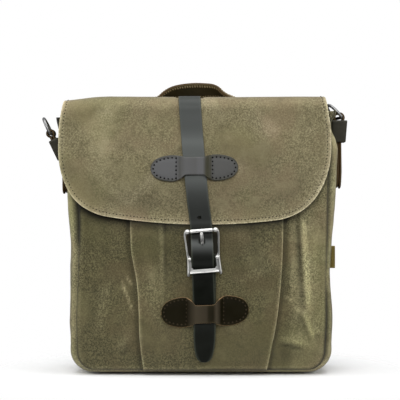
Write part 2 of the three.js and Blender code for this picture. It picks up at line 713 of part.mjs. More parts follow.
// Front outline of the buckle's open frame: thin upper sides, wide lower sides and the bottom bar
function frameOutline() {
  const inner = FRAME_HALF - FRAME_SIDE;
  const plate = FRAME_HALF - FRAME_PLATE;
  const { low, high } = BOTTOM_BAR;
  const plateTop = CENTRE_BAR.z + 1.5;
  const half = [
    { x: FRAME_HALF, z: FRAME_TOP },
    { x: FRAME_HALF, z: FRAME_FOOT + 1.5 },
    { x: FRAME_HALF - 0.7, z: FRAME_FOOT + 0.3 },
    { x: FRAME_HALF - 2, z: FRAME_FOOT + 0.6 },
    { x: plate, z: low },
  ];
  const window = [
    { x: plate - FRAME_CORNER, z: high },
    { x: plate - FRAME_CORNER * 0.3, z: high + FRAME_CORNER * 0.3 },
    { x: plate, z: high + FRAME_CORNER },
    { x: plate, z: plateTop },
    { x: inner, z: plateTop + 1.5 },
    { x: inner, z: FRAME_TOP },
  ];
  const mirrored = (points) => points.map(({ x, z }) => ({ x: -x, z })).toReversed();
  const route = [...half, ...mirrored(half), ...mirrored(window), ...window];
  return new THREE.Shape(route.map(({ x, z }) => new THREE.Vector2(x, z)));
}

function makeBuckleFrame(group) {
  const bevel = { bevelThickness: 0.6, bevelSize: 0.5, bevelOffset: -0.5, bevelSegments: 1 };
  const core = FRAME_THICK - 2 * bevel.bevelThickness;
  const body = new THREE.ExtrudeGeometry(frameOutline(), { depth: core, ...bevel });
  body.translate(0, 0, -core / 2);
  body.rotateX(Math.PI / 2);
  const centreBar = rod(CENTRE_BAR.radius, FRAME_HALF - 1.2);
  centreBar.translate(0, CENTRE_BAR.y, CENTRE_BAR.z);
  const topBar = rod(TOP_BAR_RADIUS, FRAME_HALF - 2);
  topBar.translate(0, 0, FRAME_TOP);
  let frame = toSolid(body).add(toSolid(centreBar)).add(toSolid(topBar));
  for (const side of [-1, 1]) {
    const lug = new THREE.BoxGeometry(BAR_LUG.wide, BAR_LUG.deep, BAR_LUG.high);
    lug.translate(side * (FRAME_HALF - FRAME_PLATE / 2 - 0.3), CENTRE_BAR.y - 0.6, CENTRE_BAR.z);
    const knob = new THREE.SphereGeometry(KNOB_RADIUS, 14, 8);
    knob.scale(1, 0.9, 0.86);
    knob.translate(side * (FRAME_HALF - KNOB_RADIUS), 0, FRAME_TOP);
    frame = frame.add(toSolid(lug)).add(toSolid(knob));
  }
  addPiece('buckle_frame', toGeometry(frame), nickel, group);
}

function makeRoller(group) {
  const roller = tube(ROLLER.inner, ROLLER.outer, ROLLER.half, 16);
  roller.translate(0, 0, FRAME_TOP);
  addPiece('buckle_roller', roller, nickel, group);
}

// Prong: an eye round the centre bar and a pin that steps forward through the strap to the roller
function makeProng(group) {
  const bore = CENTRE_BAR.radius + GAP;
  const eye = tube(bore, bore + PRONG_EYE.wall, PRONG_EYE.half, 16);
  eye.translate(0, CENTRE_BAR.y, CENTRE_BAR.z);
  const tipY = -ROLLER.outer - GAP - PRONG_RADIUS;
  const route = [
    { y: 1.6, z: -3.6 },
    { y: 1.5, z: -1.0 },
    { y: 1.0, z: 1.6 },
    { y: -0.4, z: 4.2 },
    { y: -2.3, z: 7.4 },
    { y: -3.6, z: 10.8 },
    { y: tipY, z: 15 },
    { y: tipY, z: FRAME_TOP + 0.9 },
  ];
  const spine = route.map(({ y, z }) => vector(0, y, z));
  const sideways = vector(1, 0, 0);
  const loops = tangents(spine).map((along, i) => {
    const radius = i === spine.length - 1 ? PRONG_RADIUS * 0.6 : PRONG_RADIUS;
    return circleLoop(spine[i], sideways, along.clone().cross(sideways), radius, 10);
  });
  addPiece('buckle_prong', toGeometry(toSolid(eye).add(toSolid(loft(loops)))), nickel, group);
}

function makeBuckle() {
  const group = new THREE.Group();
  group.position.set(BUCKLE.x, BUCKLE.y, BUCKLE.z);
  group.rotation.y = BUCKLE.lean;
  bag.add(group);
  makeBuckleFrame(group);
  makeRoller(group);
  makeProng(group);
}

function makeHandle() {
  const seat = FLAP_TOP + FLAP_CANVAS / 2 + GAP + HANDLE_LEATHER / 2;
  const stations = HANDLE_ARCH.map((row) => {
    const yaw = THREE.MathUtils.degToRad(row.yaw);
    const tilt = THREE.MathUtils.degToRad(row.tilt);
    const level = Math.cos(tilt);
    const across = vector(level * Math.sin(yaw), level * Math.cos(yaw), -Math.sin(tilt));
    return { point: vector(row.x, row.y, seat + row.rise), half: HANDLE_HALF, across };
  });
  addPiece('handle', band(stations, HANDLE_LEATHER), brownLeather);
}

// Corners of a rounded rectangle, the same count for every size
function roundedRectangle(halfA, halfB, radius) {
  const points = [];
  const quarters = [[1, 1, 0], [-1, 1, 90], [-1, -1, 180], [1, -1, 270]];
  for (const [a, b, start] of quarters) {
    for (const turn of [0, 45, 90]) {
      const angle = THREE.MathUtils.degToRad(start + turn);
      const x = a * (halfA - radius) + radius * Math.cos(angle);
      const y = b * (halfB - radius) + radius * Math.sin(angle);
      points.push([x, y]);
    }
  }
  return points;
}

function makeSleeve(name, fitting) {
  const { top, bottom, flare, loose } = fitting.sleeve;
  const innerThin = PLY_OFFSET + SIDE_LEATHER / 2 + GAP + loose;
  const innerWide = SIDE_HALF + GAP;
  const bend = 0.6;
  const layer = (out, wider) => roundedRectangle(innerThin + out + wider, innerWide + out, bend + out);
  const rings = [
    { corners: layer(SLEEVE_LEATHER, 0), z: bottom },
    { corners: layer(SLEEVE_LEATHER, flare), z: top },
    { corners: layer(0, flare), z: top },
    { corners: layer(0, 0), z: bottom },
  ];
  const sections = rings[0].corners.map((_, k) => rings.map((ring) => vector(...ring.corners[k], ring.z)));
  const mesh = addPiece(name, loft(sections, true), greyLeather);
  mesh.position.set(fitting.bar.x, 0, fitting.bar.z);
  mesh.rotation.y = fitting.side * THREE.MathUtils.degToRad(fitting.lean);
}

// Side strap: inner ply up the gusset, round the ring's bar, outer ply down to a round tail
function makeSideStrap(name, fitting) {
  const { side } = fitting;
  const lean = THREE.MathUtils.degToRad(fitting.lean);
  const up = vector(side * Math.sin(lean), 0, Math.cos(lean));
  const out = vector(side * Math.cos(lean), 0, -Math.sin(lean));
  const bar = vector(fitting.bar.x, 0, fitting.bar.z);
  const local = (along, away) => bar.clone().addScaledVector(up, along).addScaledVector(out, away);
  const onGusset = (z, away) => {
    const half = read(GUSSET_SIDES, 'z', side < 0 ? 'left' : 'right', z);
    return vector(side * (half + CANVAS / 2 + GAP + away), 0, z);
  };
  const inner = SIDE_LEATHER / 2;
  const outer = inner + 2 * PLY_OFFSET;
  const neck = -fitting.eye - 4.7;
  const below = fitting.sleeve.bottom - 1;
  const middle = lerp(below, neck, 0.6);
  const tail = fitting.tail;
  const stations = [];
  const add = (point, half = SIDE_HALF) => stations.push({ point, half, across: vector(0, 1, 0) });
  add(onGusset(tail + 0.8, inner), SIDE_HALF * 0.5);
  add(onGusset(tail + 3, inner), SIDE_HALF * 0.84);
  add(onGusset(tail + 8, inner));
  add(onGusset(tail + 18, inner));
  add(local(below, -PLY_OFFSET));
  add(local(middle, -PLY_OFFSET));
  add(local(neck, -PLY_OFFSET));
  for (const turn of [-35, -62, -90, -118, -146, 180, 146, 118, 90, 62, 35]) {
    const angle = THREE.MathUtils.degToRad(turn);
    add(local(-fitting.eye * Math.cos(angle), fitting.eye * Math.sin(angle)));
  }
  add(local(neck, PLY_OFFSET));
  add(local(middle, PLY_OFFSET));
  add(local(below, PLY_OFFSET));
  add(onGusset(tail + 18, outer));
  add(onGusset(tail + 8, outer));
  add(onGusset(tail + 3, outer), SIDE_HALF * 0.86);
  add(onGusset(tail + 0.8, outer), SIDE_HALF * 0.58);
  add(onGusset(tail, outer), SIDE_HALF * 0.3);
  addPiece(name, band(stations, SIDE_LEATHER), brownLeather);
}

// D-ring: a straight bar through the leather loop, two short arms and a half circle
function makeRing(name, fitting) {
  const { half, arm, wire } = RING;
  const route = [];
  for (const share of [-1, -0.5, 0, 0.5]) route.push([share * (half - 1.5), 0]);
  route.push([half - 1.5, 0], [half - 0.4, 0.4], [half, 1.5]);
  for (let k = 0; k <= 12; k += 1) {
    const angle = (k / 12) * Math.PI;
    route.push([half * Math.cos(angle), arm + half * Math.sin(angle)]);
  }
  route.push([-half, 1.5], [-half + 0.4, 0.4]);
  const loops = route.map(([y, z], i) => {
    const before = route[(i + route.length - 1) % route.length];
    const after = route[(i + 1) % route.length];
    const along = vector(0, after[0] - before[0], after[1] - before[1]).normalize();
    const away = vector(0, -along.z, along.y);
    return circleLoop(vector(0, y, z), away, vector(1, 0, 0), wire, 8);
  });
  const mesh = addPiece(name, loft(loops, true), steel);
  mesh.rotation.order = 'ZYX';
  mesh.position.set(fitting.bar.x, 0, fitting.bar.z);
  mesh.rotation.y = fitting.side * THREE.MathUtils.degToRad(fitting.ring.lean);
  mesh.rotation.z = THREE.MathUtils.degToRad(fitting.ring.yaw);
}

// Small folded tab on the right gusset
function makeTab() {
  const seat = read(GUSSET_SIDES, 'z', 'right', TAB.z) + CANVAS / 2 + GAP + 0.4;
  const fold = TAB_LEATHER / 2 + 0.15;
  const end = seat + TAB.reach - fold;
  const route = [[seat, -fold], [lerp(seat, end, 0.5), -fold], [end, -fold], [end + fold * 0.8, -fold * 0.6]];
  const path = [...route, [end + fold, 0], ...route.toReversed().map(([x, y]) => [x, -y])];
  const across = vector(0, 0, 1);
  const stations = path.map(([x, y]) => ({ point: vector(x, TAB.y + y, TAB.z), half: TAB.half, across }));
  addPiece('side_tab', band(stations, TAB_LEATHER), brownLeather);
}

makeBackPanel();
makeGusset();
makeFrontPanel();
makeFlap();
makeCentreStrap();
const flapSeat = (z) => flapFrontY(z) - FLAP_CANVAS / 2;
const panelSeat = (z) => read(FRONT_LINE, 'z', 'y', z) - CANVAS / 2;
const overStrap = STRAP_LEATHER + GAP;
const overChape = STRAP_LEATHER + CHAPE_LEATHER + 3 * GAP;
makeKeeper('upper_keeper', KEEPERS.upper, flapSeat, overStrap, greyLeather);
makeKeeper('lower_keeper', KEEPERS.lower, panelSeat, overChape, brownLeather);
makeChape();
makeBuckle();
makeHandle();
for (const [word, fitting] of Object.entries(FITTINGS)) {
  makeSideStrap(`${word}_side_strap`, fitting);
  makeSleeve(`${word}_sleeve`, fitting);
  makeRing(`${word}_ring`, fitting);
}
makeTab();

export default bag;
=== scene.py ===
"""Waxed canvas shoulder bag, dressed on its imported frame. Metres, +Z up, the front faces -Y."""
import math

import bpy
import numpy as np
from mathutils import Matrix, Vector, kdtree


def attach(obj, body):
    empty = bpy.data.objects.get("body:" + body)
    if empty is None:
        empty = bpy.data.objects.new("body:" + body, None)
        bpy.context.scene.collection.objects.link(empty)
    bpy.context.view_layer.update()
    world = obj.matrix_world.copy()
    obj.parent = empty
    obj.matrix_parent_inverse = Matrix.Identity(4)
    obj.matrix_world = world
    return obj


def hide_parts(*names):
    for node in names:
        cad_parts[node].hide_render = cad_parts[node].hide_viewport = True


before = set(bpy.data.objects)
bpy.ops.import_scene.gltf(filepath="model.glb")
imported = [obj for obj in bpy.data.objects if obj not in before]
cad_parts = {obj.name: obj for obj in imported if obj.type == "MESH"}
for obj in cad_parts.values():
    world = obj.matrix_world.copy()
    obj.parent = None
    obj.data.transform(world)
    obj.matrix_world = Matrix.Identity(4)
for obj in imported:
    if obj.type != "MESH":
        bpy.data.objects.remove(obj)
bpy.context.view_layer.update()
scene = bpy.context.scene

# Camera: level and straight in front of the bag, 1.5 m from its middle, behind a long lens.
# The picture is square and takes in 420 mm at that distance.
MM = 0.001
VIEW_DISTANCE = 1500 * MM
VIEW_WIDTH = 420 * MM
VIEW_MIDDLE = (-1 * MM, 178 * MM)

view = bpy.data.objects.new("view", bpy.data.cameras.new("view"))
view.data.sensor_width = 36
view.data.lens = view.data.sensor_width * VIEW_DISTANCE / VIEW_WIDTH
view.location = (VIEW_MIDDLE[0], -VIEW_DISTANCE, VIEW_MIDDLE[1])
view.rotation_euler = (math.radians(90), 0, 0)
scene.collection.objects.link(view)
scene.camera = view

# Studio: a pale round floor, a broad soft box above and behind the camera with a long low one under it,
# one on the right front, one that grazes the left side and one overhead. The room is white behind the bag.
FLOOR_RADIUS = 3.0
SOFT_BOXES = {
    "front_box": {"place": (-0.3, -1.7, 1.25), "size": (1.5, 0.8), "watts": 20},
    "low_front_box": {"place": (0.0, -2.4, 0.56), "size": (2.6, 0.6), "watts": 9},
    "right_box": {"place": (1.4, -1.0, 0.7), "size": (0.7, 1.0), "watts": 10},
    "left_box": {"place": (-1.4, -0.25, 0.6), "size": (0.7, 1.0), "watts": 7},
    "top_box": {"place": (0.0, -0.1, 1.6), "size": (1.5, 0.8), "watts": 14},
}


def tinted(colour, times):
    return tuple(min(channel * times, 1) for channel in colour[:3]) + (1,)


class Nodes:
    """A tree of nodes while it is being built. Each call adds a node and gives back what comes out of it."""

    def __init__(self, tree):
        self.tree = tree
        tree.nodes.clear()

    def add(self, kind, inputs=None, out=0, **settings):
        node = self.tree.nodes.new(kind)
        for name, value in settings.items():
            setattr(node, name, value)
        for name, value in (inputs or {}).items():
            if isinstance(value, bpy.types.NodeSocket):
                self.tree.links.new(value, node.inputs[name])
            else:
                node.inputs[name].default_value = value
        return node.outputs[out] if node.outputs else None


class Paint(Nodes):
    """A material while it is being mixed."""

    def __init__(self, name):
        self.finish = bpy.data.materials.new(name)
        self.finish.use_nodes = True
        super().__init__(self.finish.node_tree)
        self.at = self.add("ShaderNodeTexCoord", out="Object")
        self.cut = self.at.node.outputs["UV"]

    def cloud(self, size, detail=2.0, rough=0.5, at=None):
        return self.add("ShaderNodeTexNoise", {
            "Vector": self.at if at is None else at, "Scale": 1 / (size * MM), "Detail": detail,
            "Roughness": rough}, "Fac")

    def spread(self, value, low, high):
        return self.add("ShaderNodeMapRange", {
            "Value": value, "From Min": low, "From Max": high}, "Result", interpolation_type="SMOOTHSTEP")

    def ranged(self, value, low, high, least, most=1.0):
        return self.add("ShaderNodeMapRange", {
            "Value": value, "From Min": low, "From Max": high, "To Min": least, "To Max": most}, "Result")

    def blend(self, share, first, second, how="MIX"):
        return self.add("ShaderNodeMixRGB", {"Fac": share, "Color1": first, "Color2": second}, blend_type=how)

    def times(self, a, b):
        return self.add("ShaderNodeMath", {0: a, 1: b}, operation="MULTIPLY")

    def mark(self, word):
        return self.add("ShaderNodeAttribute", out="Fac", attribute_name=word)

    def bump(self, height, strength, distance, over=None):
        below = {} if over is None else {"Normal": over}
        return self.add("ShaderNodeBump", {"Height": height, "Strength": strength, "Distance": distance, **below})

    def end(self, inputs, kind="ShaderNodeBsdfPrincipled"):
        self.add("ShaderNodeOutputMaterial", {"Surface": self.add(kind, inputs)})
        return self.finish


def floor_finish():
    """White paper near the bag that melts into the white room further out."""
    paint = Paint("pale_floor")
    paper = paint.add("ShaderNodeBsdfDiffuse", {"Color": (0.93, 0.93, 0.93, 1)})
    clear = paint.add("ShaderNodeBsdfTransparent")
    away = paint.add("ShaderNodeVectorMath", {0: paint.at}, "Value", operation="LENGTH")
    return paint.end({0: paint.spread(away, 0.1, 0.27), 1: paper, 2: clear}, "ShaderNodeMixShader")


def circle(count):
    return np.linspace(0, 2 * math.pi, count, endpoint=False)


def make_studio():
    rim = [(FLOOR_RADIUS * math.cos(turn), FLOOR_RADIUS * math.sin(turn), -0.2 * MM) for turn in circle(96)]
    floor_mesh = bpy.data.meshes.new("floor")
    floor_mesh.from_pydata(rim, [], [range(len(rim))])
    floor_mesh.materials.append(floor_finish())
    floor = bpy.data.objects.new("floor", floor_mesh)
    scene.collection.objects.link(floor)
    aim = Vector((0, 0, 0.14))
    for name, box in SOFT_BOXES.items():
        light = bpy.data.lights.new(name, "AREA")
        light.shape = "RECTANGLE"
        light.size, light.size_y = box["size"]
        light.energy = box["watts"]
        lamp = bpy.data.objects.new(name, light)
        lamp.location = box["place"]
        lamp.rotation_euler = (aim - lamp.location).to_track_quat("-Z", "Y").to_euler()
        scene.collection.objects.link(lamp)
    room = bpy.data.worlds.new("room")
    room.use_nodes = True
    add = Nodes(room.node_tree).add
    height = add("ShaderNodeSeparateXYZ", {0: add("ShaderNodeTexCoord", out="Generated")}, "Z")
    glow = add("ShaderNodeMapRange", {
        "Value": height, "From Min": 0.0, "From Max": 0.3, "To Min": 0.03, "To Max": 0.36}, "Result",
        interpolation_type="SMOOTHSTEP")
    dim = add("ShaderNodeBackground", {"Color": (0.96, 0.98, 1, 1), "Strength": glow})
    paper = add("ShaderNodeBackground", {"Color": (1, 1, 1, 1), "Strength": 1.0})
    seen = add("ShaderNodeLightPath", out="Is Camera Ray")
    add("ShaderNodeOutputWorld", {"Surface": add("ShaderNodeMixShader", {0: seen, 1: dim, 2: paper})})
    scene.world = room
    scene.view_settings.view_transform = "Standard"


make_studio()

# Back panel: a flat cut of waxed cotton canvas with round lower corners, sewn to the gusset all round.
# It rests against the wearer, so it has only soft hollows and a pale worn rim.
CANVAS = 1.6
SEAM_Y = 48.0
CORNER_RADIUS = 26.0
SEAM_INSET = 9.0
SEAM_LIP = 1.2
PANEL_TOP = 262.0
PANEL_BOTTOM = SEAM_INSET - SEAM_LIP
SIDE_OUTLINE = {
    "height": (26, 60, 100, 130, 157, 190, 222, 230, 238, 248, 262, 270),
    "left": (134, 134.8, 134.2, 133.8, 135.8, 137.5, 137.5, 137.8, 138.2, 138.7, 140, 140),
    "right": (134, 134.8, 132.5, 133.5, 136, 138.9, 140, 139, 135.2, 132.6, 132.4, 132.4),
    "left_inset": (9, 9.2, 10.2, 10.8, 13.2, 12, 4, 1.2, -1.6, -4.3, -6, -5),
    "right_inset": (9, 8.4, 6.6, 6.4, 8.4, 10.8, 10.4, 9.2, 5.2, 2.4, 2, 1.6),
}


def read(table, column, at):
    """A column of a table, read along its rising first column on a smooth curve."""
    keys = np.array(next(iter(table.values())), float)
    values = np.array(table[column], float)
    ends = np.diff(values) / np.diff(keys)
    slope = np.concatenate([ends[:1], (values[2:] - values[:-2]) / (keys[2:] - keys[:-2]), ends[-1:]])
    place = np.clip(at, keys[0], keys[-1])
    row = np.clip(np.searchsorted(keys, place) - 1, 0, len(keys) - 2)
    span = keys[row + 1] - keys[row]
    t = (place - keys[row]) / span
    level = (1 + 2 * t) * (1 - t) ** 2 * values[row] + t * t * (3 - 2 * t) * values[row + 1]
    return level + span * (t * (1 - t) ** 2 * slope[row] + t * t * (t - 1) * slope[row + 1])


def mix(a, b, share):
    return a + (b - a) * share


def ease(x, low, high):
    t = np.clip((x - low) / (high - low), 0, 1)
    return t * t * (3 - 2 * t)


def band(x, start, full, fade, end):
    return ease(x, start, full) * (1 - ease(x, fade, end))


def hill(x, width):
    return np.exp(-(x / width) ** 2)


def ripple(u, v, size, seed):
    """Soft unevenness from -1 to 1 whose rises and hollows are about as wide as size."""
    lattice = np.random.RandomState(seed).uniform(-1, 1, (64, 64))
    turn = 0.7 * seed
    a = (u * math.cos(turn) - v * math.sin(turn)) / size + 31.7
    b = (u * math.sin(turn) + v * math.cos(turn)) / size + 17.3
    i, j = np.floor(a).astype(int), np.floor(b).astype(int)
    s, t = ease(a - i, 0, 1), ease(b - j, 0, 1)
    low = mix(lattice[i % 64, j % 64], lattice[(i + 1) % 64, j % 64], s)
    high = mix(lattice[i % 64, (j + 1) % 64], lattice[(i + 1) % 64, (j + 1) % 64], s)
    return mix(low, high, t)


def steps(count, length, margins=(0.3, 0.9, 2.2, 4.5)):
    """Shares from 0 to 1 of a length, close together at both ends for a round edge."""
    margin = np.array((0, *margins)) / np.max(length)
    inner = np.linspace(margin[-1], 1 - margin[-1], count)[1:-1]
    return np.concatenate([margin, inner, 1 - margin[::-1]])


def round_edge(rows, columns, ring=(0.42, 0.84)):
    """Share of the full thickness at each place of a grid, less on its two outer rings."""
    def along(count):
        share = np.ones(count)
        share[:len(ring)] = ring
        share[-len(ring):] = ring[::-1]
        return share
    return np.minimum.outer(along(rows), along(columns))


def unit(vectors):
    return vectors / np.maximum(np.linalg.norm(vectors, axis=-1, keepdims=True), 1e-9)


def run_length(points, axis):
    gaps = np.linalg.norm(np.diff(points, axis=axis), axis=-1)
    start = np.zeros_like(np.take(gaps, [0], axis=axis))
    return np.concatenate([start, np.cumsum(gaps, axis=axis)], axis=axis)


def new_piece(name, points, faces, finish, marks=None, flat=None):
    """A smooth mesh object from points in millimetres, with marks per point and a flat cloth map."""
    mesh = bpy.data.meshes.new(name)
    mesh.from_pydata((np.asarray(points) * MM).tolist(), [], [list(face) for face in faces])
    mesh.materials.append(finish)
    mesh.polygons.foreach_set("use_smooth", np.ones(len(mesh.polygons), bool))
    for mark, values in (marks or {}).items():
        layer = mesh.attributes.new(mark, "FLOAT", "POINT")
        layer.data.foreach_set("value", np.asarray(values, np.float32).ravel())
    if flat is not None:
        corner_points = np.empty(len(mesh.loops), np.int32)
        mesh.loops.foreach_get("vertex_index", corner_points)
        layer = mesh.uv_layers.new(name="cloth")
        layer.data.foreach_set("uv", (np.asarray(flat)[corner_points] * MM).astype(np.float32).ravel())
    mesh.update()
    piece = bpy.data.objects.new(name, mesh)
    scene.collection.objects.link(piece)
    return piece


def grid_normals(middle):
    return unit(np.cross(np.gradient(middle, axis=1), np.gradient(middle, axis=0)))


def wall_piece(name, middle, thickness, finish, marks, flat=None):
    """Cloth or leather of a given thickness round a grid of middle points, closed by a round rim."""
    rows, columns = middle.shape[:2]
    half = grid_normals(middle) * (np.broadcast_to(thickness, (rows, columns)) / 2)[..., None]
    points = np.concatenate([(middle + half).reshape(-1, 3), (middle - half).reshape(-1, 3)])
    count = rows * columns
    index = np.arange(count).reshape(rows, columns)
    cells = np.stack([index[:-1, :-1], index[:-1, 1:], index[1:, 1:], index[1:, :-1]], -1).reshape(-1, 4)
    rim = np.concatenate([index[0, :-1], index[:-1, -1], index[-1, :0:-1], index[:0:-1, 0]])
    after = np.roll(rim, -1)
    edge = np.stack([after, rim, rim + count, after + count], -1)
    faces = np.concatenate([cells, cells[:, ::-1] + count, edge])
    if flat is None:
        flat = np.stack([run_length(middle, 1), run_length(middle, 0)], -1)
    raw = np.zeros((rows, columns))
    raw[[0, -1], :] = 1
    raw[:, [0, -1]] = 1
    both = {"raw_edge": np.concatenate([raw.ravel(), raw.ravel()])}
    for mark, values in marks.items():
        values = np.broadcast_to(values, (rows, columns)).ravel()
        both[mark] = np.concatenate([values, values])
    twice = np.concatenate([flat.reshape(-1, 2), flat.reshape(-1, 2)])
    return new_piece(name, points, faces, finish, both, twice)


def mount(piece, slot, *nodes, body="bag"):
    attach(piece, body)
    if nodes:
        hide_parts(*nodes)


def waxed_canvas(name, cloth, pale, dark):
    """Waxed cotton duck: plain weave, heathered flecks, cloudy wax; worn and painted-lit places paler, dirty and
    painted-shaded places darker.
    """
    paint = Paint(name)
    cloud, spread, blend, times, mark = paint.cloud, paint.spread, paint.blend, paint.times, paint.mark
    warm = (cloth[0] * 1.06, cloth[1] * 0.92, cloth[2], 1)
    green = (cloth[0] * 0.92, cloth[1] * 0.98, cloth[2] * 0.8, 1)
    colour = blend(spread(cloud(1.6, 4.0, 0.85), 0.43, 0.59), dark, pale)
    colour = blend(0.04, colour, cloth)
    colour = blend(times(spread(cloud(42), 0.42, 0.62), 0.5), colour, warm)
    colour = blend(times(spread(cloud(70, 1.0), 0.5, 0.68), 0.45), colour, green)
    colour = blend(times(spread(cloud(13, 3.0, 0.6), 0.5, 0.72), 0.36), colour, dark)
    colour = blend(times(spread(cloud(27, 3.0, 0.6), 0.5, 0.72), 0.5), colour, pale)
    # This mark pales the cloth: real wear, and painted light on lit sides, crests and fold edges.
    worn_and_lit = times(mark("wear"), paint.ranged(cloud(2.6, 3.0, 0.75), 0.3, 0.65, 0.45))
    colour = blend(worn_and_lit, colour, (2.6, 2.65, 3.2, 1), "MULTIPLY")
    colour = blend(spread(mark("wear"), 1, 2), colour, (1.6, 1.65, 1.65, 1), "MULTIPLY")
    # This mark darkens the cloth: real dirt, and painted shade in seams, hollows and under the flap.
    colour = blend(mark("dirt_and_shade"), colour, tinted(dark, 0.3))
    warp, weft = (paint.add("ShaderNodeTexWave", {
        "Vector": paint.cut, "Scale": 0.314 / (pitch * MM), "Distortion": 0.6, "Detail": 1.0}, "Fac",
        bands_direction=way) for pitch, way in ((1.0, "X"), (1.15, "Y")))
    yarns = paint.bump(paint.add("ShaderNodeMath", {0: warp, 1: weft}, operation="ADD"), 0.35, 0.00012)
    return paint.end({
        "Base Color": colour, "Roughness": paint.ranged(cloud(22, 3.0), 0, 1, 0.62, 0.86),
        "Normal": paint.bump(cloud(4.5, 3.0, 0.6), 0.5, 0.0006, yarns),
        "Specular IOR Level": 0.28, "Sheen Weight": 0.12, "Sheen Roughness": 0.5})


body_canvas = waxed_canvas(
    "dark_waxed_canvas", (0.094, 0.082, 0.034, 1), (0.150, 0.132, 0.059, 1), (0.044, 0.038, 0.014, 1))


def panel_edge(side, z):
    """Outer edge of the front and back walls at a height, on the seam with a small lip."""
    word = "left" if side < 0 else "right"
    level = np.maximum(z, CORNER_RADIUS)
    half = read(SIDE_OUTLINE, word, level) - read(SIDE_OUTLINE, f"{word}_inset", level) + SEAM_LIP
    radius = CORNER_RADIUS - PANEL_BOTTOM
    drop = np.maximum(CORNER_RADIUS - z, 0)
    return side * (half - radius + np.sqrt(np.maximum(radius ** 2 - drop ** 2, 0)))


def panel_heights(count):
    turns = np.radians(np.linspace(0, 76, 14))
    low = CORNER_RADIUS - (CORNER_RADIUS - PANEL_BOTTOM) * np.cos(turns)
    high = PANEL_TOP - np.array([2.2, 0.9, 0.3, 0])
    return np.concatenate([low, np.linspace(low[-1], high[0], count)[1:-1], high])


def rim_distance(x, z):
    """Distance from the seam round a wall, in millimetres."""
    flat_z = np.maximum(z, CORNER_RADIUS)
    reach = np.where(x < 0, -panel_edge(-1, flat_z), panel_edge(1, flat_z))
    radius = CORNER_RADIUS - PANEL_BOTTOM
    inside = np.abs(x) - (reach - radius)
    below = CORNER_RADIUS - z
    corner = radius - np.hypot(np.maximum(inside, 0), np.maximum(below, 0))
    side = reach - np.abs(x)
    return np.where((inside > 0) & (below > 0), corner, np.minimum(side, z - PANEL_BOTTOM))


def make_back_panel():
    z = panel_heights(70)[:, None]
    across = steps(80, 240)[None, :]
    x = mix(panel_edge(1, z), panel_edge(-1, z), across)
    z = np.broadcast_to(z, x.shape)
    inside = rim_distance(x, z)
    free = ease(inside, 1, 40) * (1 - ease(z, 205, 240))
    soft = 1.1 * ripple(x, z, 60, 3) + 0.5 * ripple(x, z, 24, 4) + 0.12 * ripple(x, z, 8, 5)
    swell = 4.0 * ease(inside, 0, 70) + soft * ease(inside, 2, 26)
    pucker = 0.35 * np.sin((x + z) / 1.9) * hill(inside - 4, 5) * (0.5 + 0.5 * ripple(x, z, 18, 6))
    y = SEAM_Y + swell * free + pucker * free - 1.3 * hill(inside, 1.6)
    wear = 0.8 * hill(inside - 2.2, 1.4) + 0.25 * ease(ripple(x, z, 34, 7), 0.35, 0.8)
    # The band along the seam is darkened: dirt and painted shade in the seam.
    piece = wall_piece("back_panel_canvas", np.stack([x, y, z], -1), CANVAS * round_edge(*x.shape), body_canvas,
                       {"wear": wear, "dirt_and_shade": 0.75 * hill(inside, 0.9)})
    mount(piece, "body_canvas", "back_panel")


make_back_panel()

# Gusset: one long strip of the same canvas that runs down the left side, under the bag and up the right.
# It is sewn to both walls, swells out between the two seams and lies flat under the base.
GUSSET_HALF_DEPTH = SEAM_Y - CANVAS / 2 - 0.5
GUSSET_TOP = 270.0
BASE_TUCK = 1.2
TOP_DROP = 8.0
TOP_LEAN = 5.0
RING_BULGE = {"z": 239, "half": 9, "out": 3.2}
SEAM_SHADE = {
    "height": (8, 30, 45, 75, 85, 98, 124, 140, 262),
    "left": (0.7, 0.6, 0.35, 0.25, 0.25, 0.25, 0.5, 1, 1),
    "right": (0.9, 0.95, 0.95, 0.9, 0.7, 0.3, 0.7, 0.85, 0.9),
}
GUSSET_SWELL = {
    "depth": (0, 0.68, 0.87, 0.96, 1.0),
    "share": (1, 1, 0.8, 0.42, 0),
}


def seam_shade(x, z):
    return np.where(x < 0, read(SEAM_SHADE, "left", z), read(SEAM_SHADE, "right", z))


def gusset_route():
    """Stations of the bag's outline from the left top round the base to the right top."""
    low = CANVAS / 2
    corner = CORNER_RADIUS - low
    heights = GUSSET_TOP - np.array([0, 0.4, 1, 2.4])
    heights = np.concatenate([heights, np.linspace(GUSSET_TOP - 5, CORNER_RADIUS, 84)])
    turns = np.radians(np.linspace(0, 90, 20)[1:])
    rows = []
    for side, word in ((-1, "left"), (1, "right")):
        edge = SIDE_OUTLINE[word][0] - corner
        rows.append([(side * read(SIDE_OUTLINE, word, z), z, side, 0, read(SIDE_OUTLINE, f"{word}_inset", z))
                     for z in heights])
        rows[-1] += [(side * (edge + corner * math.cos(turn)), CORNER_RADIUS - corner * math.sin(turn),
                      side * math.cos(turn), -math.sin(turn), SEAM_INSET) for turn in turns]
    left, right = rows
    base = [(x, low, 0, -1, SEAM_INSET) for x in np.linspace(left[-1][0], right[-1][0], 60)[1:-1]]
    return np.array(left + base + right[::-1], float)


